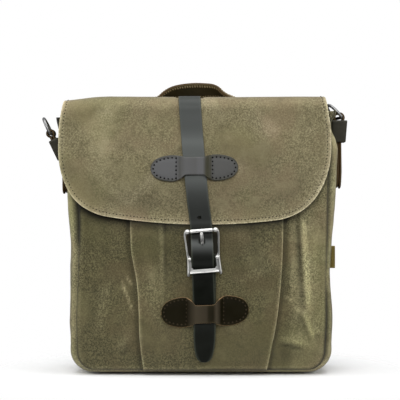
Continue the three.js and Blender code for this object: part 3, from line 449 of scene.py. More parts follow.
def make_gusset():
    route = gusset_route()
    x, z, nx, nz, inset = (route[:, [k]] for k in range(5))
    along = run_length(route[:, :2], 0)[:, None]
    depth = mix(-1, 1, steps(40, 94, (0.3, 0.9, 1.8, 3.0)))[None, :]
    share = read(GUSSET_SWELL, "share", np.abs(depth))
    inside = (1 - np.abs(depth)) * GUSSET_HALF_DEPTH
    y = depth * GUSSET_HALF_DEPTH + 0 * x
    upright = ease(z, 6, 40) * (1 - 0.6 * ease(z, 215, 262))
    soft = 0.7 * ripple(along, y, 46, 21) + 0.5 * ripple(along, y * 0.5, 19, 22) + 0.2 * ripple(along, y, 8, 23)
    folds = 0.9 * np.maximum(ripple(along * 0.25, y, 11, 24), 0) * ease(inside, 6, 22)
    pucker = 0.55 * np.sin(along / 2.3 + 2 * ripple(along, y * 0, 25, 25)) * hill(inside - 4.5, 4.5)
    pucker = pucker * (0.45 + 0.55 * ripple(along, y * 0, 30, 26))
    lift = (soft * ease(inside, 2, 16) + folds + pucker) * upright - inset * (1 - share)
    lift = lift + (0.4 * hill(inside - 2.6, 1.8) - 1.0 * ease(inside, 1, 12)) * upright
    bulge = RING_BULGE["out"] * hill(z - RING_BULGE["z"], RING_BULGE["half"])
    lift = lift + bulge * ease(-depth, 0.28, 0.5) * ease(inside, 1, 9) * (x > 0)
    lean = TOP_LEAN * ease(z, 257, 266) * ease(-depth, 0.3, 0.6) * (x > 0)
    drop = TOP_DROP * ease(z, 246, GUSSET_TOP) * ease(np.abs(depth), 0.4, 0.95) * (x < 0)
    tuck = BASE_TUCK * ease(-depth, 0.25, 0.75) * np.maximum(-nz, 0)
    middle = np.stack([x + nx * (lift + lean), y, z + nz * lift - drop + tuck], -1)
    middle[..., 2] = np.maximum(middle[..., 2], CANVAS / 2)
    # Paler: worn rim; wax pull-up with painted light on rises and folds; painted light over the side, most on the
    # right and up the front edges.
    wear = 0.3 * hill(inside - 2.6, 1.6) + 0.3 * ease(soft, 0.4, 0.9) * upright
    wear = wear + 0.5 * ease(folds, 0.35, 0.7) * upright + np.where(x > 0, 0.95, 0.75)
    wear = wear + (0.2 + 0.8 * ease(z, 105, 160)) * ease(-depth, 0.3, 0.6)
    # Darker: dirt and painted shade in the seam groove, painted shade in the hollows of the cloth.
    groove = seam_shade(x, z)
    dirt_and_shade = groove * hill(inside, 1.0 + 1.3 * groove) + 0.3 * ease(-soft, 0.5, 1.0) * upright
    piece = wall_piece("gusset_canvas", middle, CANVAS * round_edge(*y.shape), body_canvas,
                       {"wear": np.clip(wear, 0, 2), "dirt_and_shade": np.clip(dirt_and_shade, 0, 1)})
    mount(piece, "body_canvas", "gusset")


make_gusset()

# Front panel: canvas with two pleats, whose centre field laps over the side fields on a sharp pressed fold.
# Its rim rolls into the gusset seam, and soft creases run down the fields and into the right corner.
PLEAT_PITCH = 2.2
PLEAT_UNDERLAP = 9.0
PANEL_SAG = 2.6
FRONT_LINE = {
    "height": (8, 25, 50, 80, 120, 155, 190, 225, 262, 284),
    "y": (-52.4, -55, -57, -58, -58, -57.4, -56, -54.4, -52.6, -52.4),
}
PLEATS = {
    "height": (8, 28, 56, 76, 98, 126, 155, 262),
    "left": (-58.5, -61.6, -63, -63.8, -65.8, -70.8, -71.9, -73),
    "right": (67, 71.5, 76.8, 79.4, 81.4, 83, 83.5, 84),
}
FLAP_SAG = 6.2
FLAP_CORNER = {"left": (-96, 229, 48.6, 67.6), "right": (76.5, 233, 55.6, 75.4)}
# Each crease runs from one point to another; its rise is out of the cloth and its fall beside it goes in.
CREASES = [
    {"start": (-40.4, 190), "end": (-39.2, 94), "rise": 1.4, "width": 3.0, "fall": (-3.2, 1.7, 1.8)},
    {"start": (101.5, 180), "end": (109.5, 63), "rise": 2.3, "width": 4.6, "fall": (5.4, 2.8, 3.5)},
    {"start": (91, 160), "end": (93, 78), "rise": 0.8, "width": 4.5, "fall": (6.0, 0.8, 3.0)},
    {"start": (92, 64), "end": (105, 42), "rise": -1.5, "width": 9.0, "fall": (0, 0, 5.0)},
    {"start": (104, 65), "end": (115.5, 37), "rise": 2.0, "width": 3.4, "fall": (5.5, 1.0, 3.4)},
    {"start": (116, 46), "end": (129, 42.5), "rise": 2.4, "width": 3.2, "fall": (5.4, 2.2, 3.0)},
    {"start": (68, 39), "end": (105, 32), "rise": 1.7, "width": 4.4, "fall": (4.6, 2.2, 2.2)},
    {"start": (-84, 27), "end": (-62, 50), "rise": 1.2, "width": 6.5, "fall": (6.0, 1.2, 5.5)},
    {"start": (-96, 92), "end": (-104, 44), "rise": 0.8, "width": 8.0, "fall": (9.0, 0.7, 6.0)},
    {"start": (40, 150), "end": (56, 96), "rise": 0.6, "width": 9.0, "fall": (-10, 0.6, 8.0)},
    {"start": (32, 96), "end": (66, 106), "rise": 0.5, "width": 6.0, "fall": (-7, 0.4, 5.0)},
    {"start": (-56, 128), "end": (-48, 84), "rise": 0.5, "width": 6.0, "fall": (7, 0.4, 5.0)},
]
# Soft places painted paler (above 0) and darker (below 0): middle, half sizes and strength.
# Some are wax rubbed off and gathered; others are painted light and shade, as on the lit right field and beside the
# right pleat.
PALE_AND_DARK_PLACES = [
    {"at": (115, 116), "half": (10, 50), "tone": 0.5},
    {"at": (98.3, 66.3), "half": (2.6, 2.2), "tone": 0.9},
    {"at": (92, 40), "half": (11, 6), "tone": 0.35},
    {"at": (123, 44), "half": (4, 3.5), "tone": 0.45},
    {"at": (98, 52), "half": (9, 10), "tone": -0.2},
    {"at": (122, 35.5), "half": (5, 3.5), "tone": -0.4},
    {"at": (122, 88.5), "half": (1.8, 5), "tone": -0.35},
    {"at": (85, 81), "half": (3, 10), "tone": -0.35},
    {"at": (90, 22), "half": (20, 7), "tone": -0.2},
    {"at": (100, 112), "half": (3, 46), "tone": -0.15},
    {"at": (44, 128), "half": (22, 40), "tone": -0.16},
    {"at": (-30, 120), "half": (16, 44), "tone": -0.2},
]
FRONT_HELD = {"at": (4, 64.6), "half": (52, 24), "strap": (2.5, 19)}
BUCKLE_SHADE = {"x": (-16, -13, 17, 20), "z": (106, 110, 143, 147)}
SCUFFS = [((-81, 99), (-67.5, 61)), ((-77, 103), (-69, 91)), ((-80, 92), (-74, 78)), ((84, 82), (95, 74))]


def segment_place(x, z, start, end):
    """How far along a straight line a place is, as a share, and how far to its right."""
    run = np.array(end, float) - start
    length = np.hypot(*run)
    away_x, away_z = x - start[0], z - start[1]
    along = (away_x * run[0] + away_z * run[1]) / length ** 2
    return along, (away_x * -run[1] + away_z * run[0]) / length


def spot(x, z, at, half):
    return hill(x - at[0], half[0]) * hill(z - at[1], half[1])


def left_free(x, z, held):
    """Share of the cloth left free beside the strap and the keeper, which press it flat."""
    middle, width = held["strap"]
    return 1 - np.maximum(spot(x, z, held["at"], held["half"]), hill(x - middle, width))


def front_relief(x, z):
    """How far the cloth stands out at a place, how pale its crests are (worn wax and painted highlight) and how
    dark its hollows are (painted shade).
    """
    relief = 0.75 * ripple(x, z, 44, 31) + 0.42 * ripple(x, z, 19, 32) + 0.13 * ripple(x, z, 7, 33)
    worn_and_lit, dark_wax_and_shade = 0 * x, 0 * x
    for crease in CREASES:
        along, right = segment_place(x, z, crease["start"], crease["end"])
        reach = band(along, -0.1, 0.15, 0.8, 1.12)
        offset, depth, width = crease["fall"]
        relief = relief + reach * (crease["rise"] * hill(right, crease["width"])
                                   - depth * hill(right + offset, width))
        # Crests are paled by wax pull-up and painted highlight; the hollow beside each crease gets painted shade.
        worn_and_lit = worn_and_lit + 0.42 * reach * max(crease["rise"], 0) * hill(right, 0.7 * crease["width"])
        dark_wax_and_shade = dark_wax_and_shade + 0.17 * reach * depth * hill(right + offset, width)
    for place in PALE_AND_DARK_PLACES:
        tone = place["tone"] * spot(x, z, place["at"], place["half"])
        worn_and_lit, dark_wax_and_shade = worn_and_lit + np.maximum(tone, 0), dark_wax_and_shade + np.maximum(-tone, 0)
    return relief, worn_and_lit, dark_wax_and_shade


def front_columns(z):
    """Columns of the front panel from the left seam to the right one, each a list of x, y, freedom and fold."""
    centre_y = read(FRONT_LINE, "y", z)
    under_y = centre_y + 2 * PLEAT_PITCH
    radius = PLEAT_PITCH / 2

    def side_field(side, fold):
        edge, inner = panel_edge(side, z), fold - side * PLEAT_UNDERLAP
        found = []
        for share in np.concatenate([[0, 0.004, 0.012, 0.026, 0.045], np.linspace(0.07, 1, 34)]):
            x = mix(edge, inner, share)
            rise = math.sin(min(share * 1.5, 1) * math.pi / 2)
            free = band(share, 0.01, 0.16, 0.66, 0.82)
            found.append((x, mix(-SEAM_Y, under_y, rise), free, 0))
        return found

    def turn_back(x, towards, y, worn):
        found = []
        for turn in np.radians(np.linspace(15, 165, 8)):
            bent = y - radius + radius * math.cos(turn)
            found.append((x + towards * radius * math.sin(turn), bent, 0, worn * math.sin(turn) ** 2))
        return found

    def pleat(side, fold):
        inner = fold - side * PLEAT_UNDERLAP
        middle = [(mix(inner, fold, share), centre_y + PLEAT_PITCH, 0, 0) for share in (0.3, 0.55)]
        over = turn_back(fold - side * PLEAT_PITCH, side, centre_y + PLEAT_PITCH, 2.0)
        return turn_back(inner, -side, under_y, 0.0) + middle + over

    left, right = read(PLEATS, "left", z), read(PLEATS, "right", z)
    columns = side_field(-1, left) + pleat(-1, left)
    for share in np.concatenate([[0.006, 0.014, 0.03], np.linspace(0.045, 0.955, 84), [0.97, 0.986, 0.994]]):
        x = mix(left, right, share)
        near = np.minimum(x - left, right - x)
        columns.append((x, centre_y, ease(near, 1, 16), 2 * hill(near - 0.6, 1.1)))
    return columns + pleat(1, right)[::-1] + side_field(1, right)[::-1]


def flap_edge(x):
    """Height of the flap's lower edge in front of the panel."""
    def corner(past, wide, high):
        return high * (1 - np.sqrt(1 - (np.clip(past, 0, wide) / wide) ** 2))

    lx, lz, la, ld = FLAP_CORNER["left"]
    rx, rz, ra, rd = FLAP_CORNER["right"]
    share = np.clip((x - lx) / (rx - lx), 0, 1)
    straight = mix(lz - ld, rz - rd, share) - FLAP_SAG * (1 - (2 * share - 1) ** 2)
    return straight + corner(lx - x, la, ld) + corner(x - rx, ra, rd)


def make_front_panel():
    z = panel_heights(104)
    grid = np.stack([np.stack(np.broadcast_arrays(*column), -1) for column in front_columns(z)], 1)
    x, y, free, fold = np.moveaxis(grid, -1, 0)
    z = np.broadcast_to(z[:, None], x.shape)
    inside = rim_distance(x, z)
    below_flap = 1 - ease(z, 146, 172)
    shown = free * (0.1 + 0.9 * below_flap) * left_free(x, z, FRONT_HELD) * ease(inside, 2, 14)
    relief, worn_and_lit, dark_wax_and_shade = (part * shown for part in front_relief(x, z))
    pucker = 0.5 * np.sin(z / 2.2 + 2 * ripple(z, z * 0, 22, 36)) * hill(inside - 5, 5)
    relief = relief + pucker * free * (0.5 + 0.5 * ripple(x, z, 24, 37))
    y = y - relief + 1.8 * hill(inside, 1.3)
    scuff = 0 * x
    for start, end in SCUFFS:
        along, right = segment_place(x, z, start, end)
        scuff = np.maximum(scuff, hill(right, 0.8) * band(along, 0, 0.2, 0.8, 1))
    # Paler: worn rim and scuffs; worn wax with painted highlight on pleat folds and crests; painted light on the
    # right side field and, with wear, along the bottom edge.
    wear = 0.3 * hill(inside - 3.0, 1.6) + fold + worn_and_lit + 1.5 * scuff
    wear = wear + 0.3 * ease(ripple(x, z, 30, 38), 0.3, 0.8) + 0.7 * ease(x, 85, 98) + 0.45 * (1 - ease(z, 9, 12))
    # Painted shadow on the canvas behind the buckle's open frame.
    behind_buckle = band(x, *BUCKLE_SHADE["x"]) * band(z, *BUCKLE_SHADE["z"])
    # Painted shade on the cloth just beside each pleat fold.
    beside = np.minimum(np.abs(x - read(PLEATS, "left", z) + PLEAT_PITCH),
                        np.abs(x - read(PLEATS, "right", z) - PLEAT_PITCH))
    groove = seam_shade(x, z)
    # Painted shadow cast by the flap below its edge, fainter on the right.
    under = flap_edge(x) - z
    shaded = 0.7 * (1 - ease(under, 0, 15)) ** 1.6 + 0.3 * (1 - ease(under, 0.5, 3.5))
    dirt_and_shade = dark_wax_and_shade + groove * hill(inside, 0.9 + 1.2 * groove) + 0.4 * hill(beside, 1.6) * (fold < 0.05)
    dirt_and_shade = dirt_and_shade + 0.97 * behind_buckle + shaded * (1 - 0.6 * ease(x, 80, 96))
    # Darker towards the bottom.
    dirt_and_shade = dirt_and_shade + 0.28 * (1 - ease(z, 8, 75)) * (z > 9)
    sag = PANEL_SAG * (1 - ease(z, 10, 34))
    piece = wall_piece("front_panel_canvas", np.stack([x, y, z - sag], -1), CANVAS * round_edge(*x.shape),
                       body_canvas, {"wear": np.clip(wear, 0, 2), "dirt_and_shade": np.clip(dirt_and_shade, 0, 1)})
    mount(piece, "body_canvas", "front_panel")


make_front_panel()

# Flap: paler canvas, sewn to the back panel, over the top and down the front to two round corners.
# Its edge is turned in and stitched once round with dark thread, and the hem is rubbed pale.
FLAP_CANVAS = 1.8
FLAP_TOP = 282.0
FLAP_BACK_END = 246.0
FLAP_BEND = 13.0
FLAP_BACK_Y = SEAM_Y + CANVAS / 2 + 0.3 + FLAP_CANVAS / 2
FLAP_OVER_PANEL = CANVAS / 2 + 0.4 + FLAP_CANVAS / 2
FLAP_HEM = 8.0
FLAP_SIDES = {
    "height": (228, 250, 266, 278, 284),
    "left": (-144.6, -144.3, -142.6, -140.6, -139.5),
    "right": (132, 131.6, 129.3, 127.4, 126.4),
}
HEM_SEAM = 3.9
FLAP_BACK_SEAM = {"x": (-132, 118), "from_end": (4.0, 10.0)}
FLAP_HELD = {"at": (-6.7, 210.3), "half": (50, 24), "strap": (-7, 22)}
STRAP_PRESS = 1.5
SPARE_HOLE = {"x": -1.3, "z": 160.2, "radius": 1.4}


def flap_front_y(z):
    return read(FRONT_LINE, "y", z) - FLAP_OVER_PANEL


def over_the_top(offset):
    """The flap's run seen from the side, from low on the front over the top to the back, as y, z points."""
    front_top = FLAP_TOP - FLAP_BEND
    front_y, back_y = flap_front_y(front_top) + FLAP_BEND, FLAP_BACK_Y - FLAP_BEND
    bend = FLAP_BEND + offset
    turns = np.radians(np.linspace(0, 90, 16))
    fall = np.linspace(150, front_top, 90)[:-1]
    front = np.stack([flap_front_y(fall) - offset, fall], -1)
    rise = np.stack([front_y - bend * np.cos(turns), front_top + bend * np.sin(turns)], -1)
    across = np.linspace(front_y, back_y, 22)[1:-1]
    top = np.stack([across, 0 * across + FLAP_TOP + offset], -1)
    drop = np.stack([back_y + bend * np.sin(turns), front_top + bend * np.cos(turns)], -1)
    back = np.stack([0 * fall[:12] + FLAP_BACK_Y + offset, np.linspace(front_top, FLAP_BACK_END, 13)[1:]], -1)
    return np.concatenate([front, rise, top, drop, back])


flap_run = over_the_top(0)
flap_down = run_length(flap_run, 0)
flap_facing = unit(np.gradient(flap_run, axis=0)) @ np.array([[0, 1], [-1, 0]])
flap_front_rows = int(np.argmax(flap_run[:, 1] > FLAP_TOP - 0.5))


def flap_reach(z):
    """Length along the flap's run from its lowest point to a height on the front."""
    return np.interp(z, flap_run[:flap_front_rows, 1], flap_down[:flap_front_rows])


def strap_press(z):
    """How deep the tight strap presses into the flap's top edge."""
    return STRAP_PRESS * ease(z, 262, FLAP_TOP)


def flap_place(x, down, away=0.0):
    """A point of the flap from its flat place: x across and the length down its run."""
    y, z = (np.interp(down, flap_down, flap_run[:, k]) for k in (0, 1))
    ny, nz = (np.interp(down, flap_down, flap_facing[:, k]) for k in (0, 1))
    front = ease(-y, 0, 30)
    soft = 0.8 * ripple(x, down, 70, 41) + 0.4 * ripple(x, down, 27, 42) + 0.1 * ripple(x, down, 9, 43)
    out = (0.9 + soft) * left_free(x, z, FLAP_HELD) * ease(z, 150, 170) * 0.8 + away
    out = out - strap_press(z) * (1 - ease(np.abs(x + 11.6), 10, 17))
    curl = 4.0 * front * ease(np.abs(x + 6), 92, 150)
    fall = 4.0 * ease(-x, 90, 142) * ease(z, 246, 276)
    return np.stack([x, y + ny * out + curl, z + nz * out - fall], -1)


def flap_rows():
    """Flat outline of the flap as rows from the round lower edge up over the top: left, right and the run."""
    shares = steps(110, 270)
    lx, lz, la, ld = FLAP_CORNER["left"]
    rx, rz, ra, rd = FLAP_CORNER["right"]
    lean, sag = (rz - rd - lz + ld) / (rx - lx), 4 * FLAP_SAG / (rx - lx)
    x_rows, down_rows = [], []
    for turn in np.radians(np.concatenate([[90, 88.6, 87, 84.6, 81.5], np.linspace(78, 0, 40)])):
        x = mix(lx - la * math.cos(turn), rx + ra * math.cos(turn), shares)
        fall = math.sin(turn)
        run_in = math.cos(turn) * fall ** 8
        z = mix(lz - ld * fall + (sag - lean) * la * run_in, rz - rd * fall + (sag + lean) * ra * run_in, shares)
        z = z - FLAP_SAG * fall ** 4 * (1 - (2 * shares - 1) ** 2)
        x_rows.append(x)
        down_rows.append(flap_reach(z))
    start = down_rows[-1]
    end = flap_down[-1] + 0 * start
    tail = 1 - np.array([0.016, 0.007, 0.002, 0])
    for share in np.concatenate([np.linspace(0, tail[0], 62)[1:-1], tail]):
        down = mix(start, end, share)
        height = np.where(down < flap_down[flap_front_rows], np.interp(down, flap_down, flap_run[:, 1]), 284)
        left, right = read(FLAP_SIDES, "left", height), read(FLAP_SIDES, "right", height)
        x_rows.append(mix(left, right, shares))
        down_rows.append(down)
    return np.stack(x_rows), np.stack(down_rows)


def edge_distance(x, down, outline):
    tree = kdtree.KDTree(len(outline))
    for k, (a, b) in enumerate(outline):
        tree.insert((a, b, 0), k)
    tree.balance()
    near = [tree.find((a, b, 0))[2] for a, b in zip(x.ravel(), down.ravel())]
    return np.array(near).reshape(x.shape)


def even_line(points, step):
    along = run_length(points, 0)
    places = np.linspace(0, along[-1], max(int(along[-1] / step), 2) + 1)
    return np.stack([np.interp(places, along, points[:, k]) for k in range(points.shape[1])], -1)


def inset_line(points, distance):
    """A flat line moved to its left by a distance."""
    along = unit(np.gradient(points, axis=0))
    return points + distance * np.stack([-along[:, 1], along[:, 0]], -1)


def thread_finish(name, colour):
    paint = Paint(name)
    fuzz = paint.cloud(0.5)
    light = tuple(min(channel * 1.8 + 0.002, 1) for channel in colour[:3]) + (1,)
    return paint.end({
        "Base Color": paint.blend(fuzz, colour, light), "Roughness": 0.75, "Normal": paint.bump(fuzz, 0.4, 0.0001),
        "Specular IOR Level": 0.1})


def stitch_tree():
    """Geometry nodes that lay one short round stitch at each pitch along sewn lines."""
    tree = bpy.data.node_groups.new("stitch_row", "GeometryNodeTree")
    sockets = {"Geometry": "Geometry", "Pitch": "Float", "Length": "Float", "Thread": "Float", "Finish": "Material"}
    for name, kind in sockets.items():
        tree.interface.new_socket(name=name, in_out="INPUT", socket_type=f"NodeSocket{kind}")
    tree.interface.new_socket(name="Geometry", in_out="OUTPUT", socket_type="NodeSocketGeometry")
    add = Nodes(tree).add
    given = tree.nodes.new("NodeGroupInput").outputs
    line = add("GeometryNodeMeshToCurve", {"Mesh": given["Geometry"]})
    spaced = add("GeometryNodeResampleCurve", {"Curve": line, "Length": given["Pitch"]}, mode="LENGTH")
    ball = add("GeometryNodeMeshUVSphere", {"Segments": 6, "Rings": 5, "Radius": 1.0})
    size = add("ShaderNodeCombineXYZ", {"X": given["Length"], "Y": given["Thread"], "Z": given["Thread"]})
    stitch = add("GeometryNodeTransform", {"Geometry": ball, "Scale": size})
    along = add("GeometryNodeInputTangent")
    turn = add("FunctionNodeAlignRotationToVector", {"Vector": along}, axis="X")
    sewn = add("GeometryNodeInstanceOnPoints", {"Points": spaced, "Instance": stitch, "Rotation": turn})
    solid = add("GeometryNodeRealizeInstances", {"Geometry": sewn})
    coloured = add("GeometryNodeSetMaterial", {"Geometry": solid, "Material": given["Finish"]})
    add("NodeGroupOutput", {"Geometry": add("GeometryNodeSetShadeSmooth", {0: coloured})})
    return tree


stitch_nodes = stitch_tree()
black_thread = thread_finish("black_thread", (0.003, 0.003, 0.003, 1))
hem_thread = thread_finish("hem_thread", (0.013, 0.011, 0.006, 1))


def settle(piece):
    """Make the shape that the piece's modifiers give its own mesh."""
    shown = piece.evaluated_get(bpy.context.evaluated_depsgraph_get())
    settled = bpy.data.meshes.new_from_object(shown)
    piece.modifiers.clear()
    piece.data = settled
    return settled


def sew(name, lines, thread, slot, pitch=3.1, radius=0.42, fill=0.7):
    """Rows of stitches along lines of points in millimetres, as one plain mesh."""
    points, edges = [], []
    for line in lines:
        first = len(points)
        points += (np.asarray(line) * MM).tolist()
        edges += [(k, k + 1) for k in range(first, len(points) - 1)]
    mesh = bpy.data.meshes.new(f"{name}_line")
    mesh.from_pydata(points, edges, [])
    piece = bpy.data.objects.new(name, mesh)
    scene.collection.objects.link(piece)
    sewing = piece.modifiers.new("sewing", "NODES")
    sewing.node_group = stitch_nodes
    values = {"Pitch": pitch * MM, "Length": pitch * fill / 2 * MM, "Thread": radius * MM, "Finish": thread}
    for item in stitch_nodes.interface.items_tree:
        if item.name in values:
            sewing[item.identifier] = values[item.name]
    settle(piece)
    mount(piece, slot)
    return piece


flap_canvas = waxed_canvas(
    "olive_waxed_canvas", (0.208, 0.178, 0.091, 1), (0.295, 0.257, 0.140, 1), (0.118, 0.099, 0.048, 1))


def make_flap():
    x, down = flap_rows()
    middle = flap_place(x, down)
    flat = np.stack([x, down], -1)
    outline = even_line(np.concatenate([flat[::-1, 0], flat[0], flat[:, -1]]), 1.5)
    inside = edge_distance(x, down, outline)
    hem = 0.2 * (1 - ease(inside, FLAP_HEM - 1.6, FLAP_HEM + 1.2))
    groove = -0.35 * hill(inside - HEM_SEAM, 0.9)
    thickness = (FLAP_CANVAS + hem + groove) * round_edge(*x.shape)
    wear = 1.2 * hill(inside - 0.3, 0.9) + 0.35 * (1 - ease(inside, 2, 8))
    wear = wear + 0.3 * ease(ripple(x, down, 26, 46), 0.3, 0.8)
    crown = hill(middle[..., 2] - FLAP_TOP, 3.5) * (middle[..., 1] < -20)
    dirt_and_shade = 0.2 * ease(-ripple(x, down, 40, 47), 0.3, 0.9)
    # A painted dark spot behind the strap's spare hole, for the shade inside the hole.
    dirt_and_shade = dirt_and_shade + hill(np.hypot(x - SPARE_HOLE["x"], middle[..., 2] - SPARE_HOLE["z"]), 3)
    # Painted shade darkens the lower flap, which gets less of the top light; the front of the crown is darker too.
    dirt_and_shade = dirt_and_shade + 0.3 * (1 - ease(middle[..., 2], 165, 240)) * ease(inside, 3, 22) + 0.22 * crown
    piece = wall_piece("flap_canvas", middle, thickness, flap_canvas,
                       {"wear": np.clip(wear, 0, 1.5), "dirt_and_shade": np.clip(dirt_and_shade, 0, 1)}, flat)
    mount(piece, "flap_canvas", "flap")
    row = even_line(inset_line(outline, HEM_SEAM)[8:-8], 1.0)
    over = flap_place(row[:, 0], row[:, 1], FLAP_CANVAS / 2 + 0.12)
    stitches = sew("flap_stitches", [over], hem_thread, "black_leather", pitch=3.5, radius=0.5, fill=0.42)
    ends = np.linspace(*FLAP_BACK_SEAM["x"], 200)
    rows = [flap_place(ends, flap_down[-1] - gap + 0 * ends, FLAP_CANVAS / 2 + 0.12)
            for gap in FLAP_BACK_SEAM["from_end"]]
    back = sew("flap_back_stitches", rows, black_thread, "black_leather")


make_flap()

# Closing strap: one long black bridle leather strip, sewn to the back and laid over the flap.
# It runs behind the buckle's roller, over its middle bar, behind its bottom bar and ends in a blunt tip.
STRAP_LEATHER = 2.4
STRAP_BACK_END = 251.0
STRAP_SEAM = {"half": 8.4, "y": 54.02, "z": (252.5, 268)}
STRAP_LINE = {
    "height": (14, 14.3, 14.9, 16, 18, 21.5, 28.5, 37, 53, 98, 150, 178, 202, 239, 282),
    "x": (3.2, 3.2, 3.2, 3.2, 3.2, 3.3, 3.4, 3.5, 3.6, 2.2, 0.2, -3.2, -5.5, -8.7, -11.7),
    "half": (1.6, 3.0, 4.3, 5.8, 7.4, 8.8, 10.2, 11, 11.2, 11.2, 11.2, 11.2, 11.2, 11.2, 11.2),
}
STRAP_DEPTH = {
    "height": (14, 16.5, 21.5, 28.5, 37, 48, 58, 72, 84, 92, 103,
               109.2, 111.5, 114.5, 118, 121.5, 127, 134, 141, 145, 149.5, 157),
    "y": (-58, -58.1, -58.4, -58.9, -59.6, -61, -61.9, -62.3, -63.6, -64.2, -64.2,
          -64.4, -66, -68.6, -70.4, -70.7, -70.1, -68.2, -65.1, -63.9, -63.4, -61.85),
}
BUCKLE = {"x": 2.0, "y": -67.5, "z": 126.0, "lean": math.radians(-4.5)}
PRONG_SLOT = {"z": 136.2, "half": 3.0, "radius": 2.0}


def leather(name, skin, raw, gloss=(0.3, 0.4), worn=1.9, bloom_sheen_and_shade=(0.125, 0.133, 0.127, 1), shine=0.06):
    """Dyed leather with a fine pebbled grain, uneven polish, a paler cut edge and a marked colour: grey bloom with
    painted sheen, painted shade.
    """
    paint = Paint(name)
    cloud, blend, mark = paint.cloud, paint.blend, paint.mark
    colour = blend(cloud(7, 3.0), tinted(skin, 0.72), tinted(skin, 1.3))
    colour = blend(mark("wear"), colour, tinted(skin, worn))
    # Marked places take the given colour: grey bloom with painted sheen on strap and keepers, painted shade on
    # side-strap loops.
    colour = blend(mark("bloom_sheen_and_shade"), colour, bloom_sheen_and_shade)
    fibre = blend(cloud(1.2, 3.0), tinted(raw, 0.55), raw)
    pebble = paint.add("ShaderNodeTexVoronoi", {"Vector": paint.at, "Scale": 1 / (0.8 * MM)}, "Distance")
    return paint.end({
        "Base Color": blend(mark("raw_edge"), colour, fibre),
        "Roughness": paint.ranged(cloud(14, 3.0), 0.3, 0.7, *gloss),
        "Normal": paint.bump(cloud(3.2, 3.0), 0.22, 0.0004, paint.bump(pebble, 0.16, 0.00012)),
        "Specular IOR Level": shine})


black_leather = leather("black_bridle_leather", (0.0055, 0.0062, 0.0046, 1), (0.12, 0.12, 0.085, 1), worn=9)


def strip_piece(name, line, half, across, thickness, finish, marks=None):
    """A leather strip along a line of middle points, with its half width and the way across at each."""
    share = mix(-1, 1, steps(8, 2 * np.max(half), (0.3, 0.8, 1.8)))[None, :]
    half = np.broadcast_to(half, len(line))[:, None]
    middle = line[:, None, :] + (half * share)[..., None] * np.broadcast_to(across, line.shape)[:, None, :]
    full = thickness * (1 - 0.12 * share ** 2) * round_edge(*middle.shape[:2], ring=(0.5, 0.86))
    worn = {"wear": 0.7 * hill((1 - np.abs(share)) * half - 0.7, 0.6)}
    for mark, values in (marks or {}).items():
        worn[mark] = values[:, None]
    return wall_piece(name, middle, full, finish, worn)


def cut_away(piece, cutters):
    """The piece with closed shapes cut out of it, as a plain mesh."""
    for shape in cutters:
        cut = piece.modifiers.new("cut", "BOOLEAN")
        cut.operation = "DIFFERENCE"
        cut.solver = "EXACT"
        cut.object = shape
    settle(piece)
    for shape in cutters:
        bpy.data.objects.remove(shape)


def punch(x, z, half, radius, y_from, y_to):
    """A closed upright slot or round hole shape from one depth to another."""
    turns = circle(28)
    loop = np.stack([x + radius * np.cos(turns), 0 * turns,
                     z + radius * np.sin(turns) + np.sign(np.sin(turns) + 1e-9) * (half - radius)], -1)
    return new_piece("punch", *loft([loop + [0, y, 0] for y in (y_from, y_to)]), black_leather)


def loft(loops, ring=False):
    """Points and faces of a skin through loops of equal counts, closed on itself or capped at both ends."""
    loops = np.asarray(loops, float)
    rows, count = loops.shape[:2]
    index = np.arange(rows * count).reshape(rows, count)
    ends = [] if ring else [index[0].tolist(), index[-1][::-1].tolist()]
    index = np.concatenate([index, index[:1]]) if ring else index
    after = np.roll(index, -1, axis=1)
    sides = np.stack([index[:-1], index[1:], after[1:], after[:-1]], -1).reshape(-1, 4).tolist()
    points = loops.reshape(-1, 3)
    faces = sides + ends
    volume = sum(np.dot(points[f[0]], np.cross(points[f[k]], points[f[k + 1]]))
                 for f in faces for k in range(1, len(f) - 1))
    return points, (faces if volume > 0 else [face[::-1] for face in faces])


# Grey bloom and painted sheen up the strap by height: painted highlight where it faces the top light and on its
# bulge over the middle bar, none in the shade under the roller.
STRAP_SHEEN = {
    "height": (14, 121, 124.5, 129, 133.5, 136.5, 139, 141, 151, 155, 170,
               184, 192, 199, 226, 231, 237, 243, 251, 264, 282),
    "bloom_and_sheen": (0, 0, 0.08, 0.34, 0.64, 0.5, 0.1, 0, 0.04, 0.17, 0.22,
             0.36, 0.58, 0.8, 0.82, 0.88, 1, 0.78, 0.57, 0.56, 0.32),
}


def strap_line():
    """The strap's middle line from its tip up the front and over the top to the back end."""
    tip_end, front_top = STRAP_DEPTH["height"][0], STRAP_DEPTH["height"][-1]
    low = np.linspace(tip_end, front_top, 110)
    front = np.stack([read(STRAP_DEPTH, "y", low), low], -1)
    over = over_the_top(FLAP_CANVAS / 2 + 0.3 + STRAP_LEATHER / 2)
    over[:, 1] -= strap_press(over[:, 1])
    top = over[(over[:, 1] > front_top + 2) & ~((over[:, 0] > 0) & (over[:, 1] < STRAP_BACK_END))]
    tip = [[front[0, 0], z] for z in STRAP_LINE["height"][:3]]
    run = np.concatenate([tip, even_line(np.concatenate([front[2:], top]), 1.5)])
    height = np.where(run[:, 0] > 0, FLAP_TOP, run[:, 1])
    return np.stack([read(STRAP_LINE, "x", height), run[:, 0], run[:, 1]], -1), read(STRAP_LINE, "half", height)


